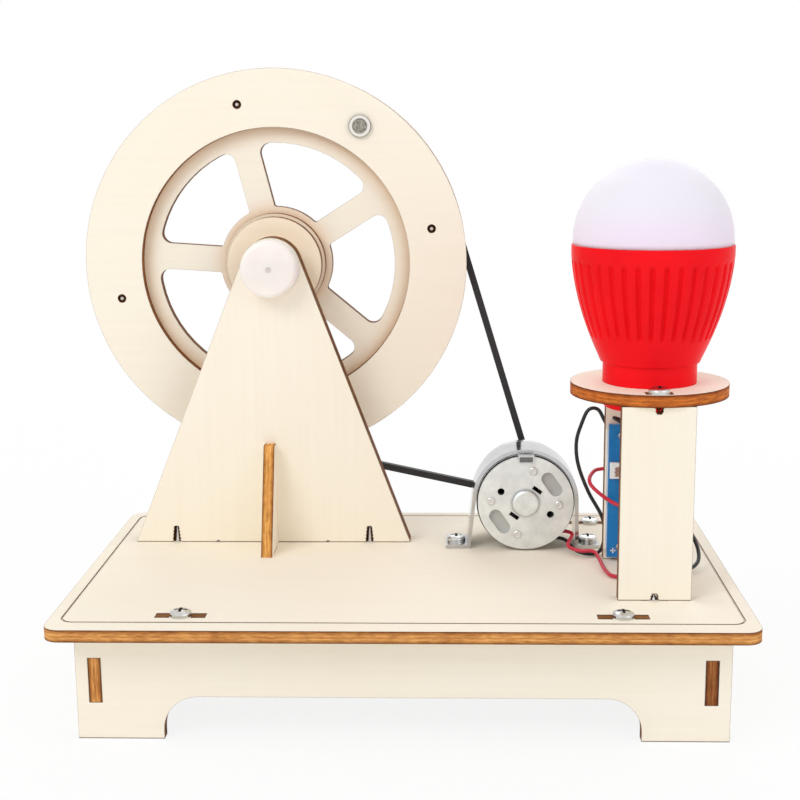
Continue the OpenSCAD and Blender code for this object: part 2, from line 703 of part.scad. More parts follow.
// One hole for each rim screw, and one for the crank bolt
module rim_holes(d) {
    for (i = [0:3]) rotate(bolt_angle + 90 * i) translate([bolt_r, 0]) circle(d = d);
    rotate(crank_angle) translate([bolt_r, 0]) circle(d = crank_hole_d);
}

// Window between two spokes, about the +x direction
module spoke_window() {
    half = 180 / spokes;
    start = spoke_w / 2 / sin(half);
    reach = 2 * window_r;
    offset(r = window_inner_r) offset(delta = -window_inner_r) difference() {
        offset(r = window_corner_r) offset(delta = -window_corner_r) intersection() {
            circle(window_r);
            polygon([[start, 0], [start + reach * cos(half), -reach * sin(half)], [start + reach * cos(half), reach * sin(half)]]);
        }
        circle(hub_r);
    }
}

module spoked_disc() {
    color("bisque") in_frame() at_axle() upright(spoke_y, ply) difference() {
        ring(groove_r, hub_bore_r);
        rim_holes(rim_hole_d);
        for (i = [0:spokes - 1]) rotate(spoke_angle + (i + 0.5) * 360 / spokes) spoke_window();
    }
}

module front_rim() {
    color("bisque") in_frame() at_axle() upright(rim_y, ply) difference() {
        ring(wheel_r, rim_hole_r);
        rim_holes(rim_tip_d);
    }
}

module rear_rim() {
    color("bisque") in_frame() at_axle() upright(rear_rim_y, ply) difference() {
        ring(wheel_r, rim_hole_r);
        rim_holes(rim_hole_d);
    }
}

module rim_screws() {
    color("dimgray") in_frame() at_axle() for (i = [0:3]) rotate([0, -bolt_angle - 90 * i, 0]) translate([bolt_r, 0, 0])
        along_y(wheel_back_y) pan_screw(3 * ply, rim_screw_d, rim_head_d, rim_head_h);
}

module crank_bolt() {
    dish_r = crank_head_d * 0.33;
    dish_depth = 0.4;
    color("gainsboro") in_frame() at_crank() along_y(rim_y) difference() {
        union() {
            translate([0, 0, -crank_head_h]) cylinder(d = crank_head_d, h = crank_head_h);
            cylinder(d = crank_d, h = crank_end_y - rim_y);
        }
        translate([0, 0, -crank_head_h - over]) cylinder(r = dish_r, h = dish_depth + over);
    }
}

// Hex nut on the crank bolt
module crank_nut(y) {
    color("silver") in_frame() at_crank() along_y(y) difference() {
        cylinder(d = nut_w / cos(30), h = nut_h, $fn = 6);
        translate([0, 0, -over]) cylinder(d = crank_d + 2 * press_gap, h = nut_h + 2 * over);
    }
}

module crank_jam_nut() { crank_nut(wheel_back_y); }
module crank_lock_nut() { crank_nut(lock_nut_y); }

module crank_grip() {
    bore_r = crank_d / 2 + grip_gap;
    rows = 16;
    color("burlywood") in_frame() at_crank() along_y(grip_y) rotate_extrude() polygon(concat(
        [[bore_r, grip_len], [bore_r, 0]],
        [for (i = [0:rows]) [grip_r + grip_swell * sin(180 * i / rows), grip_len * i / rows]]));
}

module drive_belt() {
    wheel_side = groove_r + belt_gap;
    motor_side = pulley_groove_r + belt_gap;
    color("black") in_frame() upright(belt_y - belt_t / 2, belt_t) difference() {
        polygon(belt_outline(wheel_side + belt_t, motor_side + belt_t));
        polygon(belt_outline(wheel_side, motor_side));
    }
}

module motor_can() {
    inside = motor_r - can_wall;
    lug_y = motor_front_y - can_wall;
    lug_top = motor_r - motor_gap / 2;
    color("lightgray") in_frame() at_motor() difference() {
        union() {
            along_y(can_y) cylinder(r = motor_r, h = motor_back_y - can_y);
            along_y(motor_back_y - over) cylinder(r = boss_r, h = boss_h + over);
            translate([-lug_w / 2, lug_y, lug_top - lug_len]) cube([lug_w, can_wall, lug_len]);
            translate([-lug_w / 2, lug_y, inside]) cube([lug_w, can_y + can_wall - lug_y, lug_top - inside]);
        }
        along_y(can_y) cylinder(r = inside, h = motor_back_y - can_wall - can_y);
        along_y(can_y) cylinder(r = motor_bush_r + press_gap, h = motor_len + 2 * boss_h);
        upright(can_y - over, terminal_y + wire_d - can_y + over) terminal_cut();
    }
}

// Oblong hole with round ends
module oblong(l, w) {
    square([l - w, w], center = true);
    for (s = [-1, 1]) translate([s * (l - w) / 2, 0]) circle(d = w);
}

// Round holes and slots beside the middle of the end cap, with room to spare
module cap_holes(spare) {
    for (a = [0, 180]) rotate(a) {
        translate([-8, 3.8]) circle(d = 2.3 + 2 * spare);
        translate([3.7, 4.3]) rotate(-36) square([3.4 + 2 * spare, 1.3 + 2 * spare], center = true);
    }
}

// Notch at the lower right of the can's mouth, for the terminals and their wires
module terminal_cut() {
    low = black_terminal_z + 1.4;
    translate([terminal_x(black_terminal_z) - 2.6, -low]) square([motor_r, low + 1.4 - red_terminal_z]);
}

module motor_end_cap() {
    stake_r = 1.1;
    stake_h = 0.3;
    stakes = [[2.4, 10.6], [10.8, -0.6], [-11.2, 0.6], [-2.6, -10.6]];
    color("gainsboro") in_frame() at_motor() difference() {
        union() {
            upright(motor_front_y, end_cap_t) difference() {
                circle(motor_r - end_cap_step);
                cap_holes(0);
                for (a = [0, 180]) rotate(a) translate([8.4, 6.2]) rotate(-55) oblong(8.8, 4.2);
                translate([-lug_w / 2 - fit, motor_r - 1.25 * can_wall - fit]) square([lug_w + 2 * fit, 3 * can_wall]);
            }
            along_y(motor_front_y - boss_h) rotate_extrude() polygon(concat([[0, 0]],
                arc([boss_r - 0.8, 0.8], 0.8, -90, 0, 6), [[boss_r, boss_h + over], [0, boss_h + over]]));
            for (p = stakes) translate([p[0], 0, p[1]]) along_y(motor_front_y - stake_h) cylinder(r = stake_r, h = stake_h + over, $fn = 24);
        }
        along_y(front_bush_y) cylinder(r = motor_bush_r + press_gap, h = motor_bush_len + 2 * over);
    }
}

module motor_brush_card() {
    color("lightgray") in_frame() at_motor() upright(card_y, card_t) difference() {
        circle(motor_r - can_wall - fit);
        circle(motor_bush_r + 1);
        cap_holes(0.3);
    }
}

module motor_brushes() {
    inner = commutator_r + air_gap;
    color("dimgray") in_frame() at_motor() for (s = [-1, 1])
        translate([s * (inner + 1.5) - 1.5, brush_y, -1.1]) cube([3, 2.4, 2.2]);
}

module motor_terminals() {
    color("goldenrod") in_frame() at_motor() for (z = [red_terminal_z, black_terminal_z])
        translate([terminal_x(z) - terminal_len, terminal_y, -z - terminal_w / 2]) cube([terminal_len, terminal_t, terminal_w]);
}

module motor_magnets() {
    half = 62;
    reach = 2 * motor_r;
    color("dimgray") in_frame() at_motor() upright(armature_y, armature_len) for (a = [0, 180]) rotate(a) intersection() {
        ring(motor_r - can_wall - press_gap, magnet_r);
        polygon([[0, 0], [reach * cos(half), -reach * sin(half)], [reach, 0], [reach * cos(half), reach * sin(half)]]);
    }
}

module front_motor_bush() {
    color("goldenrod") in_frame() at_motor() upright(front_bush_y, motor_bush_len) ring(motor_bush_r, shaft_r + shaft_gap);
}

module rear_motor_bush() {
    color("goldenrod") in_frame() at_motor() upright(rear_bush_y, motor_bush_len) ring(motor_bush_r, shaft_r + shaft_gap);
}

module motor_shaft() {
    front = front_bush_y + face_gap;
    back = pulley_y + pulley_w + 0.8;
    color("silver") in_frame() at_motor() along_y(front) cylinder(r = shaft_r, h = back - front);
}

// Three-pole core of the armature
module armature_core() {
    shoe_half = 46;
    reach = 2 * armature_r;
    color("gray") in_frame() at_motor() upright(armature_y, armature_len) difference() {
        union() {
            circle(hub_core_r);
            for (i = [0:2]) rotate(120 * i) {
                translate([0, -pole_w / 2]) square([armature_r - pole_shoe / 2, pole_w]);
                intersection() {
                    ring(armature_r, armature_r - pole_shoe);
                    polygon([[0, 0], [reach * cos(shoe_half), -reach * sin(shoe_half)], [reach, 0],
                        [reach * cos(shoe_half), reach * sin(shoe_half)]]);
                }
            }
        }
        circle(shaft_r + press_gap);
    }
}

// Copper coils, one on each side of each pole
module armature_windings() {
    near = pole_w / 2 + face_gap / 2;
    far = near + coil_w;
    start = hub_core_r + face_gap;
    end = sqrt(pow(armature_r - pole_shoe - face_gap, 2) - far * far);
    color("peru") in_frame() at_motor() upright(armature_y - coil_over / 2, armature_len + coil_over)
        for (i = [0:2]) rotate(120 * i) for (s = [0, 1]) mirror([0, s]) translate([start, near])
            square([end - start, coil_w]);
}

module commutator() {
    color("peru") in_frame() at_motor() upright(commutator_y, commutator_len) ring(commutator_r, shaft_r + press_gap);
}

module motor_pulley() {
    groove = ply / 2;
    half = pulley_w / 2;
    color("snow") in_frame() at_motor() along_y(pulley_y) rotate_extrude() polygon([
        [shaft_r + press_gap, 0], [pulley_r, 0], [pulley_r, half - groove], [pulley_groove_r, half - groove],
        [pulley_groove_r, half + groove], [pulley_r, half + groove], [pulley_r, pulley_w], [shaft_r + press_gap, pulley_w]]);
}

module motor_strap() {
    outer = strap_r + strap_t;
    leg = motor_z - base_z;
    color("gainsboro") in_frame() at_motor() difference() {
        upright(strap_y, strap_w) union() {
            intersection() {
                ring(outer, strap_r);
                translate([-outer, 0]) square([2 * outer, outer]);
            }
            for (s = [-1, 1]) mirror([s < 0 ? 1 : 0, 0]) {
                polygon([[strap_r, 0], [strap_r + splay(s), -leg], [outer + splay(s), -leg], [outer, 0]]);
                translate([strap_r + splay(s), -leg]) square([strap_t + strap_foot, strap_t]);
            }
        }
        for (s = [-1, 1]) translate([strap_screw_x(s), strap_y + strap_w / 2, -leg - over])
            cylinder(d = screw_hole_d, h = strap_t + 2 * over);
    }
}

module strap_screws() {
    color("silver") in_frame() for (s = [-1, 1])
        translate([motor_x + strap_screw_x(s), strap_y + strap_w / 2, base_z + strap_t])
            pan_screw(strap_t + ply + 0.8);
}

// Outline of a plate of the lamp stand, from its lower edge
module ped_plate() {
    difference() {
        union() {
            translate([-ped_w / 2, 0]) square([ped_w, ped_h]);
            translate([0, ped_h]) tab_pair(ped_tab_span, ped_tab_w, ply);
            mirror([0, 1]) tab_pair(ped_tab_span, ped_tab_w, ply);
        }
        screw_notch(short_bite);
        translate([0, ped_h]) mirror([0, 1]) screw_notch(short_bite);
    }
}

module lamp_stand_front() { color("bisque") in_frame() translate([ped_x, 0, base_z]) upright(ped_y, ply) ped_plate(); }
module lamp_stand_rear() { color("bisque") in_frame() translate([ped_x, 0, base_z]) upright(ped_rear_y, ply) ped_plate(); }

module lamp_stand_screws() {
    color("silver") in_frame() for (y = [ped_y, ped_rear_y])
        translate([ped_x, y + ply / 2, skirt_h]) mirror([0, 0, 1]) pan_screw(ply + short_bite, bite = short_bite);
}

module lamp_disc() {
    color("bisque") in_frame() translate([ped_x, ped_mid_y, disc_z]) linear_extrude(ply) difference() {
        ring(disc_r, tail_r + fit);
        for (s = [-1, 1]) translate([0, s * (ped_d - ply) / 2]) {
            tab_pair_slots(ped_tab_span, ped_tab_w);
            circle(d = screw_hole_d);
        }
    }
}

module disc_screws() {
    color("silver") in_frame() for (y = [ped_y, ped_rear_y])
        translate([ped_x, y + ply / 2, lamp_z]) pan_screw(ply + short_bite, bite = short_bite);
}

// Outer profile of the lamp's bowl, as radius and height, from the neck to the joint with the dome
function bowl(inset) = [for (i = [0:12]) bezier([
    [bowl_r - inset, neck_h + 0.8], [bowl_r + 2.6 - inset, neck_h + 6.5],
    [lamp_r - 0.9 - inset, lamp_h - 16.8], [lamp_r - inset, lamp_h - 2.8]], i / 12)];

module lamp_body() {
    floor_t = 1.6;
    seat_z = lamp_h - led_board_t - 0.6;
    seat_r = lamp_r - lamp_wall;
    color("red") in_frame() at_lamp() difference() {
        rotate_extrude() polygon(concat(
            [[0, tail_z], [tail_r, tail_z], [tail_r, 0], [neck_r, 0], [neck_r, neck_h]],
            bowl(0), [[lamp_r, lamp_h], [0, lamp_h]]));
        rotate_extrude() polygon(concat(
            [[0, tail_z + floor_t], [tail_r - lamp_wall, tail_z + floor_t], [neck_r - lamp_wall - 0.6, neck_h]],
            bowl(lamp_wall + ledge), [[seat_r - ledge, seat_z], [seat_r, seat_z], [seat_r, lamp_h + over], [0, lamp_h + over]]));
    }
}

module lamp_dome() {
    inner = dome_r - lamp_wall;
    color("lavender") in_frame() at_lamp() rotate_extrude() polygon(concat(
        [[inner, lamp_h], [dome_r, lamp_h]], arc([0, lamp_h + dome_skirt], dome_r, 0, 90, 24),
        arc([0, lamp_h + dome_skirt], inner, 90, 0, 24)));
}

module light_board() {
    color("white") in_frame() at_lamp() translate([0, 0, lamp_h - led_board_t - 0.6])
        cylinder(r = lamp_r - lamp_wall - fit, h = led_board_t);
}

module lights() {
    side = 2.8;
    led_h = 0.8;
    color("khaki") in_frame() at_lamp() for (i = [0:leds - 1]) rotate(360 * i / leds)
        translate([12 - side / 2, -side / 2, lamp_h - 0.6]) cube([side, side, led_h]);
}

module board_tape() {
    margin = 2;
    color("white") in_frame() translate([board_x - 0.5, ped_rear_y - tape_t, board_bottom + margin])
        cube([board_w - 2, tape_t, board_h - 2 * margin]);
}

module regulator_board() {
    color("royalblue") in_frame() translate([board_x, board_y, board_bottom]) cube([board_w, board_t, board_h]);
}

// A block on the front face of the board, from its lower left corner
module on_board(x, z, size) {
    translate([board_x + x, board_y - size[1], board_bottom + z]) cube(size);
}

// Converter chip, choke, diode and small white block of the regulator
module board_parts() {
    color("dimgray") in_frame() {
        on_board(7.5, 8.6, [9.4, 4.4, 9]);
        on_board(5.6, 19.6, [8.6, 4, 8.6]);
        on_board(14.6, 20.4, [3, 2.2, 5]);
        on_board(0.4, 26.1, [2.9, 1.6, 5]);
    }
}

module board_capacitors() {
    can_r = 4;
    can_h = 8;
    color("silver") in_frame() for (p = [[8.6, 33.8]]) translate([board_x + p[0], board_y, board_bottom + p[1]])
        rotate([90, 0, 0]) cylinder(r = can_r, h = can_h);
}

module solder_pads() {
    color("gainsboro") in_frame() for (x = [pad_left, pad_right]) for (z = [pad_low, board_h - pad_low])
        translate([board_x + x, board_y, board_bottom + z]) rotate([90, 0, 0]) cylinder(r = pad_r, h = pad_t);
}

// Round wire swept along a route, with its end faces square to the route
module wire(route) {
    curve = smooth_route(route);
    n = len(route) - 1;
    first = end_run * unit(route[1] - route[0]);
    last = end_run * unit(route[n - 1] - route[n]);
    path = concat([route[0], route[0] + first], [for (i = [1:len(curve) - 2]) curve[i]], [route[n] + last, route[n]]);
    m = len(path) - 1;
    points = [for (i = [0:m]) let (h = heading(path, i), s = sideways(path, i), u = cross(h, s))
        for (k = [0:tube_sides - 1]) let (a = 360 * k / tube_sides) path[i] + wire_d / 2 * (cos(a) * s + sin(a) * u)];
    walls = [for (i = [0:m - 1]) for (k = [0:tube_sides - 1]) let (
        a = i * tube_sides + k, b = i * tube_sides + (k + 1) % tube_sides)
        each [[a, a + tube_sides, b], [b, a + tube_sides, b + tube_sides]]];
    caps = [[for (k = [0:tube_sides - 1]) k], [for (k = [tube_sides - 1:-1:0]) m * tube_sides + k]];
    polyhedron(points = points, faces = concat(walls, caps));
}

module motor_lead_red() { color("crimson") in_frame() wire(motor_red_route); }
module motor_lead_black() { color("black") in_frame() wire(motor_black_route); }
module lamp_lead_red() { color("crimson") in_frame() wire(lamp_red_route); }
module lamp_lead_black() { color("black") in_frame() wire(lamp_black_route); }

base_plate();
front_skirt();
rear_skirt();
left_skirt();
right_skirt();
base_screws();
stand_front_ply();
stand_rear_ply();
stand_gusset();
stand_screws();
axle_bush();
axle();
front_axle_cap();
rear_axle_cap();
axle_washer();
hub_spacer_disc();
front_hub_disc();
rear_hub_disc();
spoked_disc();
front_rim();
rear_rim();
rim_screws();
crank_bolt();
crank_jam_nut();
crank_lock_nut();
crank_grip();
drive_belt();
motor_can();
motor_end_cap();
motor_brush_card();
motor_brushes();
motor_terminals();
motor_magnets();
front_motor_bush();
rear_motor_bush();
motor_shaft();
armature_core();
armature_windings();
commutator();
motor_pulley();
motor_strap();
strap_screws();
lamp_stand_front();
lamp_stand_rear();
lamp_stand_screws();
lamp_disc();
disc_screws();
lamp_body();
lamp_dome();
light_board();
lights();
board_tape();
regulator_board();
board_parts();
board_capacitors();
solder_pads();
motor_lead_red();
motor_lead_black();
lamp_lead_red();
lamp_lead_black();
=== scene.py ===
"""Looks of a hand crank generator: plywood base and wheel, belt, motor, lamp and wires.

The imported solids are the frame. Plywood, metal and plastic nodes keep their solids and get finishes
here, and the lamp, the wires and the small parts on the motor and the board are made as new pieces.
Everything is in metres, in the frame's own axes: +X right, +Y away from the front view, +Z up.
"""

import json
import logging
import math
from collections.abc import Callable, Sequence
from dataclasses import dataclass, field
from enum import Enum

import bpy
import numpy as np
from mathutils import Matrix, Vector

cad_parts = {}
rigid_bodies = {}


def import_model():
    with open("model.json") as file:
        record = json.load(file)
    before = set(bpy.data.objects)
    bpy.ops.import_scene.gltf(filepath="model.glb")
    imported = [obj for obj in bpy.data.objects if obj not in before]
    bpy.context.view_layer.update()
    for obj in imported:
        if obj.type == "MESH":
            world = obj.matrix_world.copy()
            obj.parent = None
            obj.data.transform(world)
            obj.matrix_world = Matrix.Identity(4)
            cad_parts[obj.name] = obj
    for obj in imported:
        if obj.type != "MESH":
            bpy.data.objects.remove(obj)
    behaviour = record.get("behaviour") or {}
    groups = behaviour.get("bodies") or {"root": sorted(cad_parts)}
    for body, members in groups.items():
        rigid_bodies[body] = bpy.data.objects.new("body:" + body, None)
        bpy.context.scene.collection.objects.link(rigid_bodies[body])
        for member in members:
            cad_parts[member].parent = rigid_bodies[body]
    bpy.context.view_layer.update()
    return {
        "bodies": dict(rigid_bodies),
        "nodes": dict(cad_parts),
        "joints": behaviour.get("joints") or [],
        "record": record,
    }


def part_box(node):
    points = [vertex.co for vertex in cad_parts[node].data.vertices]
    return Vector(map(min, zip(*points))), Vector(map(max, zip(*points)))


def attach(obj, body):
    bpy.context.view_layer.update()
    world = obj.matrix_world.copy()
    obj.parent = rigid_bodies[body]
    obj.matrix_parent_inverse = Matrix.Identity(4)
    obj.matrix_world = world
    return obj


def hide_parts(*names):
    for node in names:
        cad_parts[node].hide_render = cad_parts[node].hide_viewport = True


LOG = logging.getLogger("generator")
Color = tuple[float, float, float]
Stops = Sequence[tuple[float, Color]]
Array = np.ndarray
Surface = tuple[Array, list]
Route = tuple[tuple[float, float, float], ...]
Socket = bpy.types.NodeSocket

MM = 0.001
TAU = 2.0 * math.pi
WHITE: Color = (1.0, 1.0, 1.0)
# Half the width of a solder pad on the board
PAD_HALF = 1.3 * MM
# Colour sockets of a Mix node: factor, first and second input, and the result
MIX_INPUTS = (0, 6, 7)
MIX_OUTPUT = 2
# Rays that a Bevel or an Ambient Occlusion node casts
RAYS = 4
# Agreement of the rounded and the true normal where the line along an edge starts and is full
RIM_SPAN = (0.995, 0.86)


class Axis(Enum):
    """An axis of the frame, by its place in a vector."""

    X = 0
    Y = 1
    Z = 2


class Cut(Enum):
    """Tone of a laser-cut edge, as factors on the burnt colours."""

    AMBER = (1.17, 1.14, 1.06)
    BRIGHT = (1.36, 1.33, 1.1)
    DEEP = (1.03, 0.6, 0.3)
    BROWN = (0.62, 0.46, 0.4)
    CHARRED = (0.42, 0.36, 0.3)


class Sleeve(Enum):
    """Colour of a wire's sleeve, as linear red, green and blue."""

    RED = (0.58, 0.014, 0.042)
    BLACK = (0.012, 0.012, 0.014)


def toned(color: Color, factors: Color) -> Color:
    """A colour times a factor for each channel, at most 1."""
    return tuple(min(1.0, c * k) for c, k in zip(color, factors))


class Nodes:
    """A node tree, with short calls that add nodes and feed their inputs."""

    def __init__(self, tree: bpy.types.NodeTree) -> None:
        """Empties the tree and keeps it."""
        tree.nodes.clear()
        self.tree = tree

    def feed(self, target: Socket, source: object) -> None:
        """Links an output to an input, or sets a constant there.

        Args:
            target: the input.
            source: an output, a number or a row of numbers.
        """
        if isinstance(source, Socket):
            self.tree.links.new(source, target)
        else:
            target.default_value = (*source, 1.0) if target.type == "RGBA" else source

    def node(self, kind: str, inputs: dict | None = None, **settings: object) -> bpy.types.Node:
        """Adds a node.

        Args:
            kind: Blender's name of the node type, less its prefix.
            inputs: an output or a constant for each input, by name or number.
            settings: properties of the node to set.

        Returns:
            The new node.
        """
        made = self.tree.nodes.new(f"ShaderNode{kind}")
        for key, value in settings.items():
            setattr(made, key, value)
        for key, value in (inputs or {}).items():
            self.feed(made.inputs[key], value)
        return made

    def math(self, operation: str, *values: Socket | float) -> Socket:
        """One step of arithmetic on values or outputs, by Blender's name of the operation."""
        return self.node("Math", dict(enumerate(values)), operation=operation).outputs["Value"]

    def length(self, vector: Socket) -> Socket:
        """Length of a vector."""
        return self.node("VectorMath", {0: vector}, operation="LENGTH").outputs["Value"]

    def span(self, value: Socket, low: float, high: float,
             ends: tuple[float, float] = (0.0, 1.0)) -> Socket:
        """A value mapped from one range to another.

        Args:
            value: the value.
            low: result at the first end.
            high: result at the second end.
            ends: the value's own range.

        Returns:
            The value output.
        """
        limits = zip(("From Min", "From Max", "To Min", "To Max"), (*ends, low, high))
        return self.node("MapRange", {"Value": value, **dict(limits)}).outputs["Result"]

    def either(self, factor: Socket, first: Socket, second: Socket) -> Socket:
        """Mix of two shaders, the second at factor 1."""
        return self.node("MixShader", {"Fac": factor, 1: first, 2: second}).outputs[0]


class Graph(Nodes):
    """A material's nodes, with the patterns that the finishes share."""

    def __init__(self, name: str) -> None:
        """Starts a material with a Principled shader.

        Args:
            name: the material's name.
        """
        self.material = bpy.data.materials.new(name)
        self.material.use_nodes = True
        super().__init__(self.material.node_tree)
        self.shader = self.node("BsdfPrincipled")
        self.output = self.node("OutputMaterial", {"Surface": self.shader.outputs["BSDF"]})
        coord = self.node("TexCoord")
        self.spot, self.normal = coord.outputs["Object"], coord.outputs["Normal"]

    def shade(self, **values: object) -> None:
        """Feeds the shader's own inputs, with _ for a space in a name."""
        for key, value in values.items():
            self.feed(self.shader.inputs[key.replace("_", " ")], value)

    def place(self, scale: float | Sequence[float], origin: Color = (0.0, 0.0, 0.0)) -> Socket:
        """Object coordinates, scaled along each axis and then moved.

        Args:
            scale: pattern units per metre, for all axes or for each.
            origin: where the frame's origin lands in the pattern.

        Returns:
            The vector output.
        """
        factors = (scale,) * 3 if isinstance(scale, float) else tuple(scale)
        inputs = {"Vector": self.spot, "Location": origin, "Scale": factors}
        return self.node("Mapping", inputs).outputs["Vector"]

    def noise(self, scale: float | Sequence[float], detail: float, rough: float = 0.55) -> Socket:
        """Noise from 0 to 1 on object coordinates.

        Args:
            scale: pattern units per metre, for all axes or for each.
            detail: number of finer layers.
            rough: weight of the finer layers.

        Returns:
            The factor output.
        """
        inputs = {"Vector": self.place(scale), "Scale": 1.0, "Detail": detail, "Roughness": rough}
        return self.node("TexNoise", inputs).outputs["Fac"]

    def ramp(self, factor: Socket, stops: Stops) -> Socket:
        """Colour ramp through the stops.

        Args:
            factor: value from 0 to 1.
            stops: positions with their colours.

        Returns:
            The colour output.
        """
        made = self.node("ValToRGB", {"Fac": factor})
        band = made.color_ramp
        while len(band.elements) < len(stops):
            band.elements.new(0.5)
        for element, (position, color) in zip(band.elements, stops):
            element.position = position
            element.color = (*color, 1.0)
        return made.outputs["Color"]

    def mix(self, factor: Socket | float, first: Socket | Color, second: Socket | Color,
            blend: str = "MIX") -> Socket:
        """Mix of two colours.

        Args:
            factor: share of the second colour.
            first: colour at 0.
            second: colour at 1.
            blend: Blender's blend mode.

        Returns:
            The colour output.
        """
        inputs = dict(zip(MIX_INPUTS, (factor, first, second)))
        made = self.node("Mix", inputs, data_type="RGBA", blend_type=blend)
        return made.outputs[MIX_OUTPUT]

    def times(self, first: Socket, second: Socket) -> Socket:
        """Product of two colours."""
        return self.mix(1.0, first, second, "MULTIPLY")

    def rim(self, reach: float) -> Socket:
        """One close to a sharp edge of the piece and zero elsewhere.

        Args:
            reach: width of the band in metres.

        Returns:
            The value output.
        """
        rounded = self.node("Bevel", {"Radius": reach}, samples=RAYS).outputs["Normal"]
        true = self.node("NewGeometry").outputs["Normal"]
        lean = self.node("VectorMath", {0: rounded, 1: true}, operation="DOT_PRODUCT")
        return self.span(lean.outputs["Value"], 0.0, 1.0, RIM_SPAN)

    def crevice(self, reach: float, alone: bool = True) -> Socket:
        """One in the open and less in crevices.

        Args:
            reach: how far away a wall counts, in metres.
            alone: whether only the piece's own walls count.

        Returns:
            The value output.
        """
        made = self.node("AmbientOcclusion", {"Distance": reach}, samples=RAYS, only_local=alone)
        return made.outputs["AO"]

    def part(self, vector: Socket, axis: Axis) -> Socket:
        """One component of a vector."""
        return self.node("SeparateXYZ", {"Vector": vector}).outputs[axis.value]

    def bump(self, height: Socket, depth: float, strength: float) -> None:
        """Bump on the shader's normal.

        Args:
            height: value from 0 to 1.
            depth: depth of the relief in metres.
            strength: share of the relief that shows.
        """
        inputs = {"Height": height, "Distance": depth, "Strength": strength}
        self.shade(Normal=self.node("Bump", inputs).outputs["Normal"])


class Finish:
    """A finish of a piece: each kind paints its own pattern."""

    def material(self, name: str) -> bpy.types.Material:
        """Builds the finish.

        Args:
            name: the material's name.

        Returns:
            The material.
        """
        graph = Graph(name)
        self.paint(graph)
        return graph.material

    def paint(self, graph: Graph) -> None:
        """Adds the finish's own nodes to a new material."""
        raise NotImplementedError


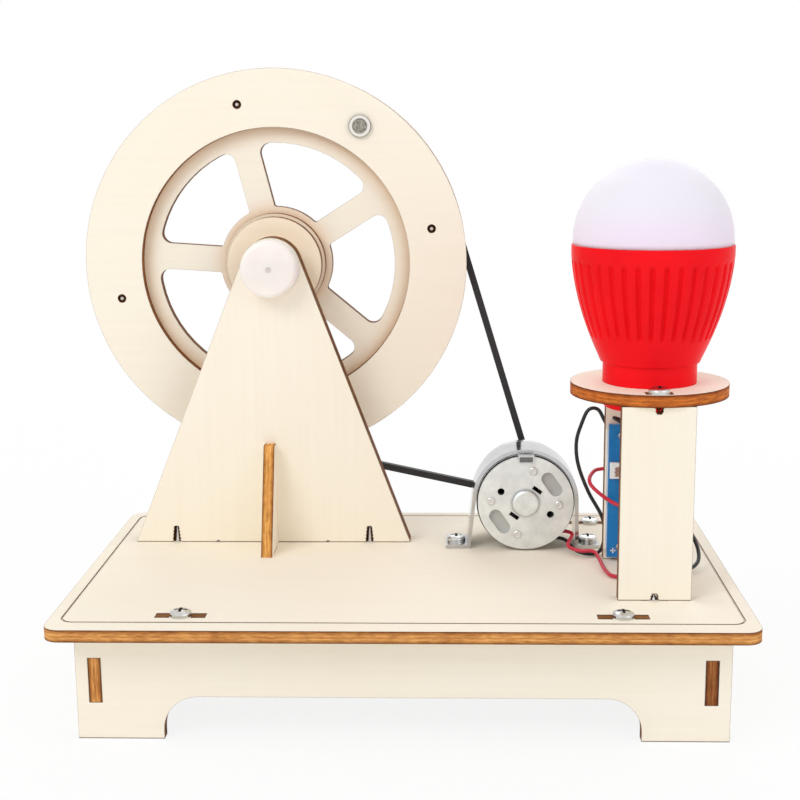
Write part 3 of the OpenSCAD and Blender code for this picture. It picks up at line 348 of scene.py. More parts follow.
@dataclass(frozen=True)
class PlyFinish(Finish):
    """Laser-cut plywood: pale veneer on the faces and a burnt, layered cut round the edges.

    Attributes:
        axis: direction of the plate's thickness.
        start: lower face along that axis, in metres.
        thick: the plate's thickness in metres.
        grain: direction of the veneer's grain.
        burn: how dark the scorched parts of the cut edge are, from 0 to 1.
        cut: tone of the cut edge.
        foot: height of a joint that shows as a thin dark line, or None.
        recess_shade_reach: reach of the painted warm shade in recesses beside the plates that stand
            on it, in metres.
        tint: factors on the veneer's colour; on the hub discs a warm painted shade, on the lamp's
            disc a painted offset of the red light bounced from the bowl.
        face_lean: least share of a normal along the axis that counts as a face.
        scorch: colour of the dark lines on a face.
        rim: width in metres and strength of the dark line along a cut.
        joint: width in metres and strength of the dark line at a joint.
        recess_shade_tint: factors on the veneer from deep in a recess to the open, a painted warm
            shade.
        veneer: colours of the veneer's grain.
        slow: factors of the slow change of tone.
        layers: colours through the cut, from one face to the other.
        fleck: factors of the fibres along the layers.
    """

    axis: Axis
    start: float
    thick: float
    grain: Axis
    burn: float
    cut: Cut
    foot: float | None = None
    recess_shade_reach: float = 0.0
    tint: Color = WHITE
    face_lean: float = 0.6
    scorch: Color = (0.10, 0.042, 0.016)
    rim: tuple[float, float] = (0.00032, 0.85)
    joint: tuple[float, float] = (0.00028, 0.8)
    recess_shade_tint: Stops = ((0.5, (1.0, 0.82, 0.66)), (0.96, WHITE))
    veneer: Stops = ((0.28, (0.938, 0.868, 0.737)), (0.62, (0.951, 0.888, 0.767)))
    slow: Stops = ((0.3, (0.985, 0.972, 0.95)), (0.7, WHITE))
    layers: Stops = (
        (0.0, (0.09, 0.034, 0.011)), (0.09, (0.40, 0.165, 0.042)), (0.34, (0.80, 0.42, 0.14)),
        (0.47, (0.58, 0.27, 0.08)), (0.6, (0.78, 0.40, 0.13)), (0.9, (0.38, 0.15, 0.038)),
        (1.0, (0.08, 0.03, 0.01)))
    fleck: Stops = ((0.34, (0.62, 0.54, 0.47)), (0.6, WHITE))

    def paint(self, graph: Graph) -> None:
        """Lays the veneer on the faces and the burnt cut on the edges.

        Args:
            graph: the material's nodes.
        """
        lean = graph.math("ABSOLUTE", graph.part(graph.normal, self.axis))
        reach, dark = self.rim
        line = graph.math("MULTIPLY", graph.rim(reach), dark)
        top = graph.mix(line, self._veneer(graph), self.scorch)
        if self.foot is not None:
            reach, dark = self.joint
            above = graph.math("SUBTRACT", graph.part(graph.spot, Axis.Z), self.foot)
            line = graph.math("MULTIPLY", graph.math("LESS_THAN", above, reach), dark)
            top = graph.mix(line, top, self.scorch)
        # Painted warm shade in recesses, from ambient occlusion of nearby walls
        if self.recess_shade_reach:
            recess = graph.crevice(self.recess_shade_reach, alone=False)
            top = graph.times(top, graph.ramp(recess, self.recess_shade_tint))
        face = graph.math("GREATER_THAN", lean, self.face_lean)
        graph.shade(Base_Color=graph.mix(face, self._edge(graph), top), Roughness=0.72,
                    Specular_IOR_Level=0.2)
        pores = graph.noise(self._along(self.grain, 160.0, 4200.0), 2.0)
        graph.bump(pores, 0.00006, 0.3)

    @staticmethod
    def _along(axis: Axis, own: float, others: float) -> list[float]:
        """Pattern scale with one value along an axis and another along the other two."""
        return [own if each is axis else others for each in Axis]

    def _veneer(self, graph: Graph) -> Socket:
        """Pale veneer with faint long grain and a slow change of tone.

        Args:
            graph: the material's nodes.

        Returns:
            The colour output.
        """
        grain = graph.noise(self._along(self.grain, 16.0, 700.0), 4.0, 0.6)
        pale = graph.ramp(grain, [(at, toned(color, self.tint)) for at, color in self.veneer])
        return graph.times(pale, graph.ramp(graph.noise(16.0, 1.0), self.slow))

    def _edge(self, graph: Graph) -> Socket:
        """Burnt cut: dark at both faces, orange brown and a glue line between, scorched in places.

        Args:
            graph: the material's nodes.

        Returns:
            The colour output.
        """
        inside = graph.math("SUBTRACT", graph.part(graph.spot, self.axis), self.start)
        burnt = [(at, toned(color, self.cut.value)) for at, color in self.layers]
        layers = graph.ramp(graph.math("DIVIDE", inside, self.thick), burnt)
        low = 1.0 - 0.55 * self.burn
        scorched = [(0.34, (low, 0.86 * low, 0.78 * low)), (0.66, WHITE)]
        shade = graph.ramp(graph.noise(95.0, 4.0, 0.65), scorched)
        fibres = graph.noise(self._along(self.axis, 2400.0, 330.0), 3.0, 0.6)
        return graph.times(graph.times(layers, shade), graph.ramp(fibres, self.fleck))


@dataclass(frozen=True)
class MetalFinish(Finish):
    """Plated or drawn metal with fine lines, cloudy gloss and painted shade in crevices.

    Attributes:
        color: reflected colour.
        rough: lowest and highest roughness.
        lines: pattern scale of the fine lines along each axis, per metre.
        relief: depth of the lines in metres.
        dull: factor on the colour in the clouds.
        crevice_shade_reach: reach of the painted shade that darkens crevices, in metres.
    """

    color: Color
    rough: tuple[float, float]
    lines: tuple[float, float, float] = (900.0, 900.0, 900.0)
    relief: float = 0.00002
    dull: float = 0.82
    crevice_shade_reach: float = 0.0011

    def paint(self, graph: Graph) -> None:
        """Mixes clean and cloudy metal, with painted shade in crevices.

        Args:
            graph: the material's nodes.
        """
        cloud = graph.noise(240.0, 3.0)
        clean = graph.ramp(cloud, [(0.3, toned(self.color, (self.dull,) * 3)), (0.7, self.color)])
        # Painted shade: ambient occlusion darkens the metal's colour in crevices
        crevice_shade = graph.ramp(graph.crevice(self.crevice_shade_reach), [(0.3, (0.16, 0.16, 0.16)), (0.85, WHITE)])
        graph.shade(Base_Color=graph.times(clean, crevice_shade), Roughness=graph.span(cloud, *self.rough),
                    Metallic=1.0)
        graph.bump(graph.noise(self.lines, 2.0), self.relief, 0.4)


@dataclass(frozen=True)
class PlasticFinish(Finish):
    """Moulded plastic with a faint mould texture and small changes of tone.

    Attributes:
        color: colour of the plastic.
        rough: lowest and highest roughness.
        soft: share of light that scatters inside.
        grain: scale of the mould texture per metre.
        relief: depth of that texture in metres.
        coat: weight of a clear glossy skin.
        shine: level of the plain reflection.
        deep: factor on the colour where the tone is deepest.
    """

    color: Color
    rough: tuple[float, float]
    soft: float = 0.0
    grain: float = 1500.0
    relief: float = 0.00002
    coat: float = 0.0
    shine: float = 0.4
    deep: float = 0.9

    def paint(self, graph: Graph) -> None:
        """Mixes the tones and lays the mould texture over them.

        Args:
            graph: the material's nodes.
        """
        deep = toned(self.color, (self.deep,) * 3)
        tone = graph.ramp(graph.noise(60.0, 2.0), [(0.3, deep), (0.65, self.color)])
        fine = graph.noise(self.grain, 2.0)
        graph.shade(Base_Color=tone, Roughness=graph.span(fine, *self.rough),
                    Subsurface_Weight=self.soft, Subsurface_Scale=0.004,
                    Coat_Weight=self.coat, Coat_Roughness=0.2, Specular_IOR_Level=self.shine)
        graph.bump(fine, self.relief, 0.3)


@dataclass(frozen=True)
class BoltFinish(Finish):
    """Bright bolt whose head has a rough, darker middle, with dark lines of painted shade round its
    edge and round the middle.

    Attributes:
        center: the bolt's axis across and up, in metres.
        color: reflected colour of the bright metal.
        line: colour of the dark lines, painted shade at the head's edge and round its middle.
        middle: radius of the rough middle in metres.
    """

    center: tuple[float, float]
    color: Color
    line: Color = (0.09, 0.075, 0.06)
    middle: float = 0.002376

    def paint(self, graph: Graph) -> None:
        """Parts the head by the distance from its axis, as a share of twice the middle's radius.

        Args:
            graph: the material's nodes.
        """
        flat = graph.place((1.0, 0.0, 1.0), (-self.center[0], 0.0, -self.center[1]))
        share = graph.math("DIVIDE", graph.length(flat), 2 * self.middle)
        rough = graph.noise(1500.0, 4.0, 0.7)
        core = graph.ramp(rough, [(0.36, (0.10, 0.088, 0.07)), (0.6, (0.50, 0.465, 0.40))])
        # Dark lines at the middle's edge and the head's edge: painted shade at those steps
        rings = [(0.5, self.line), (0.53, self.color), (0.715, self.color), (0.74, self.line)]
        inside = graph.math("LESS_THAN", share, 0.5)
        graph.shade(Base_Color=graph.mix(inside, graph.ramp(share, rings), core),
                    Roughness=graph.span(rough, 0.25, 0.5), Metallic=1.0)
        graph.bump(graph.math("MULTIPLY", rough, inside), 0.00012, 0.6)


@dataclass(frozen=True)
class BoardFinish(Finish):
    """Solder mask over copper runs: blue lacquer with paler lines where the runs lie under it.

    Attributes:
        color: colour of the lacquer.
        run: colour over a run.
        pitch: runs per metre across the board, and along it.
    """

    color: Color
    run: Color
    pitch: tuple[float, float] = (620.0, 136.4)

    def paint(self, graph: Graph) -> None:
        """Lays the runs in patches under the lacquer.

        Args:
            graph: the material's nodes.
        """
        wander = graph.noise(110.0, 1.0)
        across, along = self.pitch
        inputs = {"Vector": graph.place((across, across, along)), "Scale": 1.0, "Distortion": 0.6}
        lines = graph.node("TexWave", inputs, bands_direction="X", wave_profile="SIN")
        band = graph.math("GREATER_THAN", lines.outputs["Fac"], 0.62)
        laid = graph.math("MULTIPLY", band, graph.math("GREATER_THAN", wander, 0.52))
        graph.shade(Base_Color=graph.mix(laid, self.color, self.run),
                    Roughness=graph.span(wander, 0.24, 0.4),
                    Coat_Weight=0.05, Coat_Roughness=0.15, Specular_IOR_Level=0.3)
        graph.bump(laid, 0.00004, 0.5)


@dataclass(frozen=True)
class ChipFinish(Finish):
    """Small white part with a ragged brown patch.

    Attributes:
        low: bottom of the patch in metres.
        high: top of the patch in metres.
        left: left side of the patch in metres.
        ragged: how far its outline strays, in metres.
        white: colours of the part.
        brown: colours of the patch.
    """

    low: float
    high: float
    left: float
    ragged: float = 0.0008
    white: Stops = ((0.3, (0.74, 0.78, 0.8)), (0.6, (0.86, 0.9, 0.92)))
    brown: Stops = ((0.3, (0.20, 0.10, 0.075)), (0.6, (0.42, 0.27, 0.22)))

    def paint(self, graph: Graph) -> None:
        """Parts the patch from the white by height and by place across, both strayed by noise.

        Args:
            graph: the material's nodes.
        """
        mottle = graph.noise(2200.0, 2.0)
        stray = graph.math("MULTIPLY_ADD", mottle, 2 * self.ragged, -self.ragged)
        across, height = (graph.math("ADD", graph.part(graph.spot, axis), stray)
                          for axis in (Axis.X, Axis.Z))
        patch = graph.math("MULTIPLY", graph.math("GREATER_THAN", height, self.low),
                           graph.math("LESS_THAN", height, self.high))
        patch = graph.math("MULTIPLY", patch, graph.math("GREATER_THAN", across, self.left))
        white, brown = (graph.ramp(mottle, stops) for stops in (self.white, self.brown))
        graph.shade(Base_Color=graph.mix(patch, white, brown), Roughness=0.35)
        graph.bump(mottle, 0.00003, 0.3)


@dataclass(frozen=True)
class GlobeFinish(Finish):
    """Frosted moulding whose tone changes from its lower edge upwards: pink near the lower edge as
    painted reflection of the red bowl, and darker at the top as painted shade.

    Attributes:
        low: colour at the lower edge, pink as painted reflection of the red bowl.
        high: colour from half its height.
        top: colour at the top, darker as painted shade.
        start: height of the lower edge in metres.
        height: height of the globe in metres.
        scatter: how far light spreads inside, in metres, alike for all colours.
    """

    low: Color
    high: Color
    top: Color
    start: float
    height: float
    scatter: float = 0.002

    def paint(self, graph: Graph) -> None:
        """Grades the colour by height, with painted reflection low and painted shade at the top, and
        lets light scatter inside.

        Args:
            graph: the material's nodes.
        """
        level = graph.math("SUBTRACT", graph.part(graph.spot, Axis.Z), self.start)
        stops = [(0.0, self.low), (0.55, self.high), (0.8, self.high), (1.0, self.top)]
        tone = graph.ramp(graph.math("DIVIDE", level, self.height), stops)
        fine = graph.noise(1500.0, 2.0)
        graph.shade(Base_Color=tone, Roughness=graph.span(fine, 0.32, 0.44),
                    Subsurface_Weight=0.85, Subsurface_Scale=self.scatter, Subsurface_Radius=WHITE,
                    Specular_IOR_Level=0.06)
        graph.bump(fine, 0.00001, 0.3)


@dataclass(frozen=True)
class TurnedWoodFinish(Finish):
    """Turned hardwood with long grain along +Y and a thin wax.

    Attributes:
        light: colour of the early wood.
        dark: colour of the late wood.
    """

    light: Color
    dark: Color

    def paint(self, graph: Graph) -> None:
        """Grades the colour and the gloss by the grain.

        Args:
            graph: the material's nodes.
        """
        grain = graph.noise((700.0, 40.0, 700.0), 5.0, 0.6)
        graph.shade(Base_Color=graph.ramp(grain, [(0.32, self.dark), (0.62, self.light)]),
                    Roughness=graph.span(grain, 0.42, 0.55), Coat_Weight=0.15, Coat_Roughness=0.3)
        graph.bump(grain, 0.00005, 0.4)


def put(name: str, data: bpy.types.ID) -> bpy.types.Object:
    """A new object in the scene that shows the data.

    Args:
        name: the object's name.
        data: its mesh, curve, lamp or camera.

    Returns:
        The object.
    """
    made = bpy.data.objects.new(name, data)
    bpy.context.scene.collection.objects.link(made)
    return made


@dataclass
class PhotoCamera:
    """Camera of the photograph, solved from the object's own edges.

    Attributes:
        place: the lens in the frame, in metres.
        lens: focal length in millimetres for a sensor of that width.
        sensor: sensor width in millimetres.
        pitch: degrees below the horizon.
        yaw: degrees to the right of +Y.
        roll: degrees clockwise.
        clip: nearest and farthest distance that is shown, in metres.
    """

    place: tuple[float, float, float] = (0.016951, -0.434741, 0.172877)
    lens: float = 62.5586
    sensor: float = 36.0
    pitch: float = 11.098
    yaw: float = -2.0202
    roll: float = 0.4938
    clip: tuple[float, float] = (0.01, 20.0)

    def build(self) -> None:
        """Makes the camera and sets it as the scene's own."""
        pitch, yaw, roll = (math.radians(a) for a in (self.pitch, self.yaw, self.roll))
        flat = math.cos(pitch)
        ahead = Vector((math.sin(yaw) * flat, math.cos(yaw) * flat, -math.sin(pitch)))
        level = Vector((math.cos(yaw), -math.sin(yaw), 0.0))
        below = ahead.cross(level)
        right = math.cos(roll) * level + math.sin(roll) * below
        down = math.cos(roll) * below - math.sin(roll) * level
        data = bpy.data.cameras.new("photo_camera")
        data.lens, data.sensor_width, data.sensor_fit = self.lens, self.sensor, "HORIZONTAL"
        data.clip_start, data.clip_end = self.clip
        camera = put("photo_camera", data)
        turn = Matrix((right, -down, -ahead)).transposed().to_4x4()
        camera.matrix_world = Matrix.Translation(self.place) @ turn
        bpy.context.scene.camera = camera


@dataclass
class Studio:
    """Pale floor, white surroundings and soft lamps.

    Attributes:
        floor_half: half the floor's width in metres.
        paper: colour of the floor.
        white: how far the floor is lifted to plain white in view, from 0 to 1.
        fade: distances between which the floor turns to plain white, in metres.
        sky: strength of the light from all round.
        lamps: name, place, width in metres, watts, and point aimed at, for each lamp.
    """

    floor_half: float = 6.0
    paper: Color = (0.93, 0.93, 0.93)
    white: float = 0.86
    fade: tuple[float, float] = (0.3, 0.8)
    sky: float = 0.71
    lamps: tuple[tuple[str, Color, float, float, Color], ...] = (
        ("key_lamp", (-0.6, -0.7, 0.85), 0.55, 4.1, (0.0, 0.0, 0.08)),
        ("fill_lamp", (0.75, -0.65, 0.55), 0.8, 1.5, (0.0, 0.0, 0.08)),
        ("rear_lamp", (0.1, 0.8, 0.8), 0.9, 2.9, (0.0, 0.0, 0.1)),
    )

    def build(self) -> None:
        """Makes the world, the floor and the lamps, and sets the view transform."""
        bpy.context.scene.view_settings.view_transform = "Standard"
        self._world()
        self._floor()
        for name, place, width, watts, aim in self.lamps:
            data = bpy.data.lights.new(name, "AREA")
            data.size, data.energy = width, watts
            lamp = put(name, data)
            lamp.location = place
            lamp.rotation_mode = "QUATERNION"
            lamp.rotation_quaternion = (Vector(aim) - Vector(place)).to_track_quat("-Z", "Y")

    @staticmethod
    def _seen(nodes: Nodes) -> Socket:
        """One where a thing is seen directly, in a mirror or through glass, and zero elsewhere.

        Args:
            nodes: the tree to add to.

        Returns:
            The value output.
        """
        path = nodes.node("LightPath").outputs
        mirrored = nodes.math("MAXIMUM", path["Is Camera Ray"], path["Is Glossy Ray"])
        return nodes.math("MAXIMUM", mirrored, path["Is Transmission Ray"])

    def _world(self) -> None:
        """White surroundings in view, and a softer white as light."""
        world = bpy.data.worlds.new("studio")
        bpy.context.scene.world = world
        world.use_nodes = True
        nodes = Nodes(world.node_tree)
        light, shown = (nodes.node("Background", {"Color": WHITE, "Strength": strength}).outputs[0]
                        for strength in (self.sky, 1.0))
        nodes.node("OutputWorld", {"Surface": nodes.either(self._seen(nodes), light, shown)})

    def _floor(self) -> None:
        """Level floor that shows almost white and keeps a soft shadow."""
        half = self.floor_half
        mesh = bpy.data.meshes.new("floor")
        corners = [(-half, -half, 0), (half, -half, 0), (half, half, 0), (-half, half, 0)]
        mesh.from_pydata(corners, [], [(0, 1, 2, 3)])
        floor = put("floor", mesh)
        graph = Graph("floor_paper")
        graph.shade(Base_Color=self.paper, Roughness=0.9, Specular_IOR_Level=0.1)
        spread = graph.span(graph.length(graph.spot), self.white, 1.0, self.fade)
        share = graph.math("MULTIPLY", self._seen(graph), spread)
        lift = graph.node("Emission", {"Color": WHITE}).outputs[0]
        surface = graph.either(share, graph.shader.outputs["BSDF"], lift)
        graph.feed(graph.output.inputs["Surface"], surface)
        mesh.materials.append(graph.material)


def declare(piece: bpy.types.Object, body: str, node: str | None = None) -> None:
    """Tells the frame what a new piece is.

    Args:
        piece: the piece.
        body: the body that it moves with.
        node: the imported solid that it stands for, if any.
    """
    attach(piece, body)
    if node is not None:
        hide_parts(node)


def add_piece(name: str, surface: Surface, finish: bpy.types.Material, body: str,
              node: str | None = None) -> None:
    """Args:
        name: the piece's name.
        surface: places in the frame, and rows of point numbers.
        finish: the piece's material.
        body: the body that it moves with.
        node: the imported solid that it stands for, if any.
    """
    points, faces = surface
    mesh = bpy.data.meshes.new(name)
    mesh.from_pydata(points.tolist(), [], faces)
    mesh.update()
    mesh.polygons.foreach_set("use_smooth", np.full(len(mesh.polygons), True))
    mesh.materials.append(finish)
    declare(put(name, mesh), body, node)
    LOG.info("%s: %d faces", name, len(mesh.polygons))


def skin(rings: Array, first: Sequence[float], last: Sequence[float]) -> Surface:
    """A closed surface through rows of points: quads between rows, and a fan to a pole at each end.

    Args:
        rings: rows by columns by 3 array of points, each row closed on itself.
        first: pole under the first row.
        last: pole over the last row.

    Returns:
        The points and the faces.
    """
    rows, columns = rings.shape[:2]
    points = np.concatenate([rings.reshape(-1, 3), [first], [last]])
    step = np.arange(columns)
    around = (step + 1) % columns
    row = np.arange(rows - 1)[:, None] * columns
    quads = np.stack([row + step, row + around, row + around + columns, row + step + columns],
                     axis=-1)
    count = rows * columns
    top = count - columns
    under = np.stack([np.full(columns, count), around, step], axis=-1)
    over = np.stack([np.full(columns, count + 1), top + step, top + around], axis=-1)
    return points, [*quads.reshape(-1, 4).tolist(), *under.tolist(), *over.tolist()]


def turned(profile: Array, columns: int,
           flutes: Callable[[Array, Array], Array] | None = None) -> Surface:
    """A closed surface of revolution about +Z.

    The point at angle a and row i is (r cos a, r sin a, z), with r the profile's radius less the
    flutes' depth there. The first and last rows are poles on the axis.

    Args:
        profile: rows of radius and height, from one pole round the outside to the other.
        columns: number of steps round the axis.
        flutes: depth of a groove from the angle and height arrays, or None for a plain form.

    Returns:
        The points and the faces.
    """
    angle = np.arange(columns) * TAU / columns
    radius = np.repeat(profile[1:-1, :1], columns, axis=1)
    height = np.repeat(profile[1:-1, 1:], columns, axis=1)
    if flutes is not None:
        radius = radius - flutes(np.broadcast_to(angle, radius.shape), height)
    rings = np.stack([radius * np.cos(angle), radius * np.sin(angle), height], axis=-1)
    return skin(rings, (0, 0, profile[0, 1]), (0, 0, profile[-1, 1]))


def hoop(section: Array, start: float, end: float, columns: int) -> Surface:
    """A closed section carried along an arc about +Z, with its two ends closed.

    The point at angle a of section point (r, z) is (r cos a, r sin a, z).

    Args:
        section: rows of radius and height, in order round the section.
        start: first angle in degrees.
        end: last angle in degrees.
        columns: number of steps along the arc.

    Returns:
        The points and the faces.
    """
    rows = len(section)
    angle = np.radians(np.linspace(start, end, columns + 1))[:, None]
    radius, height = section[:, 0], np.broadcast_to(section[:, 1], (columns + 1, rows))
    points = np.stack([radius * np.cos(angle), radius * np.sin(angle), height], axis=-1)
    step = np.arange(rows)
    around = (step + 1) % rows
    row = np.arange(columns)[:, None] * rows
    quads = np.stack([row + step, row + step + rows, row + around + rows, row + around], axis=-1)
    last = columns * rows + step
    faces = [*quads.reshape(-1, 4).tolist(), step.tolist(), last[::-1].tolist()]
    return points.reshape(-1, 3), faces


def block(size: Sequence[float], corner: float, edge: float, steps: int = 5) -> Surface:
    """A rounded block on the plane z = 0: a rectangle with round corners, drawn in at its top.

    Each row is the rectangle's outline less an inset, and the inset follows a quarter circle from
    0 at the wall to the edge radius on top. A corner keeps at least a fifth of its radius.

    Args:
        size: width, depth and height.
        corner: radius of the upright corners.
        edge: radius of the upper edge.
        steps: points on each quarter circle.

    Returns:
        The points and the faces.
    """
    quarter = np.linspace(0, 90, steps)
    turn = np.radians(quarter[None, :] + np.arange(4)[:, None] * 90).ravel()
    side = np.repeat(np.array([[1, 1], [-1, 1], [-1, -1], [1, -1]], float), steps, axis=0)
    lift = np.radians(quarter)
    inset = np.concatenate([[0.0], edge * (1 - np.cos(lift))])[:, None]
    height = np.concatenate([[0.0], size[2] - edge + edge * np.sin(lift)])[:, None]
    radius = np.maximum(corner - inset, 0.2 * corner)
    across, deep = (side[:, k] * (size[k] / 2 - inset - radius) + radius * trig
                    for k, trig in enumerate((np.cos(turn), np.sin(turn))))
    rings = np.stack([across, deep, np.repeat(height, len(turn), axis=1)], axis=-1)
    return skin(rings, (0, 0, 0), (0, 0, size[2]))


def forwards(surface: Surface, place: Sequence[float]) -> Surface:
    """A surface turned so that its +Z looks out of the front (-Y) and its +Y up, at a place.

    Args:
        surface: points and faces.
        place: where its origin goes.

    Returns:
        The new points and the same faces.
    """
    x, y, z = surface[0].T
    return np.stack([place[0] + x, place[1] - z, place[2] + y], axis=-1), surface[1]


def joined(parts: Sequence[Surface]) -> Surface:
    """Several surfaces as one.

    Args:
        parts: points and faces of each surface.

    Returns:
        All points, and the faces counted on.
    """
    counts = np.cumsum([0, *(len(points) for points, _ in parts)])
    faces = [[i + start for i in face] for start, (_, own) in zip(counts, parts) for face in own]
    return np.concatenate([points for points, _ in parts]), faces


def bezier(control: Sequence[Sequence[float]], steps: int) -> Array:
    """Points on a cubic curve: the four control points weighted by the Bernstein polynomials.

    Args:
        control: four rows of control points.
        steps: number of spans.

    Returns:
        steps + 1 rows of points.
    """
    t = np.linspace(0.0, 1.0, steps + 1)[:, None]
    weights = [(1 - t) ** 3, 3 * t * (1 - t) ** 2, 3 * t * t * (1 - t), t ** 3]
    return sum(w * p for w, p in zip(weights, np.array(control, float)))


def arc(center: Sequence[float], radius: float, start: float, end: float, steps: int) -> Array:
    """Points on an arc: the middle plus the radius times the cosine and the sine of the angle.

    Args:
        center: the arc's middle in the plane of the profile.
        radius: its radius.
        start: first angle in degrees.
        end: last angle in degrees.
        steps: number of spans.

    Returns:
        steps + 1 rows of points.
    """
    angle = np.radians(np.linspace(start, end, steps + 1))
    return np.stack([center[0] + radius * np.cos(angle), center[1] + radius * np.sin(angle)],
                    axis=-1)


class Shop:
    """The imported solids, with short calls that dress and measure them."""

    def __init__(self, frame: dict) -> None:
        self.nodes = frame["nodes"]

    def dress(self, finish: Finish, title: str, *names: str) -> None:
        """Gives nodes a material in place of their own.

        Args:
            finish: the finish.
            title: the material's name.
            names: the nodes.
        """
        material = finish.material(title)
        for name in names:
            slots = self.nodes[name].data.materials
            slots.clear()
            slots.append(material)
            LOG.info("%s: %s", name, title)

    @staticmethod
    def middle(node: str) -> Vector:
        """Middle of a node's box."""
        low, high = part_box(node)
        return (low + high) / 2

    @staticmethod
    def pads() -> list[Vector]:
        """Middles of the board's solder pads: left low, left high, right low and right high.

        Returns:
            The four places, on the front of the pads.
        """
        low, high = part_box("solder_pads")
        columns = (low.x + PAD_HALF, high.x - PAD_HALF)
        rows = (low.z + PAD_HALF, high.z - PAD_HALF)
        return [Vector((x, low.y, z)) for x in columns for z in rows]


@dataclass
class Plywork:
    """All plywood plates, with the thickness direction, grain and burn of each.

    Attributes:
        sheet: thickness of the plywood in metres.
        recess: reach of the painted warm shade in the spoked disc's recesses, in metres.
        disc_bounce_offset: factors on the veneer of the lamp's disc, cooler as a painted offset of
            the red light bounced from the bowl.
        hub_shade_tint: factors on the veneer of the hub discs, a warm painted shade.
        plates: node, thickness axis, grain axis, burn and tone of the cut.
    """

    sheet: float = 0.0036
    recess: float = 0.006
    disc_bounce_offset: Color = (0.97, 1.06, 1.06)
    hub_shade_tint: Color = (1.03, 0.95, 0.86)
    plates: tuple[tuple[str, Axis, Axis, float, Cut], ...] = (
        ("base_plate", Axis.Z, Axis.X, 0.45, Cut.AMBER),
        ("front_skirt", Axis.Y, Axis.X, 0.5, Cut.CHARRED),
        ("rear_skirt", Axis.Y, Axis.X, 0.5, Cut.CHARRED),
        ("left_skirt", Axis.X, Axis.Y, 0.4, Cut.AMBER),
        ("right_skirt", Axis.X, Axis.Y, 0.8, Cut.BROWN),
        ("stand_front_ply", Axis.Y, Axis.Z, 0.5, Cut.CHARRED),
        ("stand_rear_ply", Axis.Y, Axis.Z, 0.5, Cut.CHARRED),
        ("stand_gusset", Axis.X, Axis.Z, 0.35, Cut.BRIGHT),
        ("hub_spacer_disc", Axis.Y, Axis.X, 0.7, Cut.BROWN),
        ("front_hub_disc", Axis.Y, Axis.Z, 0.6, Cut.BROWN),
        ("rear_hub_disc", Axis.Y, Axis.Z, 0.6, Cut.AMBER),
        ("spoked_disc", Axis.Y, Axis.X, 0.5, Cut.CHARRED),
        ("front_rim", Axis.Y, Axis.X, 0.6, Cut.BROWN),
        ("rear_rim", Axis.Y, Axis.X, 0.6, Cut.AMBER),
        ("lamp_stand_front", Axis.Y, Axis.Z, 0.5, Cut.CHARRED),
        ("lamp_stand_rear", Axis.Y, Axis.Z, 0.5, Cut.CHARRED),
        ("lamp_disc", Axis.Z, Axis.X, 0.5, Cut.DEEP),
    )

    def build(self, shop: Shop) -> None:
        """Dresses every plate with its own finish.

        Args:
            shop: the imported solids.
        """
        standing = ("stand_front_ply", "stand_rear_ply", "lamp_stand_front", "lamp_stand_rear")
        feet = dict.fromkeys(standing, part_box("base_plate")[1].z)
        feet |= dict.fromkeys(("front_skirt", "rear_skirt"), 0.0)
        # The hub discs get a warm painted shade
        tints = dict.fromkeys(("front_hub_disc", "hub_spacer_disc"), self.hub_shade_tint)
        # The lamp's disc gets a cooler tint, a painted offset of the red light bounced from the bowl
        tints["lamp_disc"] = self.disc_bounce_offset
        recess_shade_reaches = {"spoked_disc": self.recess}
        for name, axis, grain, burn, cut in self.plates:
            low, high = (corner[axis.value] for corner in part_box(name))
            finish = PlyFinish(axis, low, min(high - low, self.sheet), grain, burn, cut,
                               feet.get(name), recess_shade_reaches.get(name, 0.0), tints.get(name, WHITE))
            shop.dress(finish, f"ply_{name}", name)


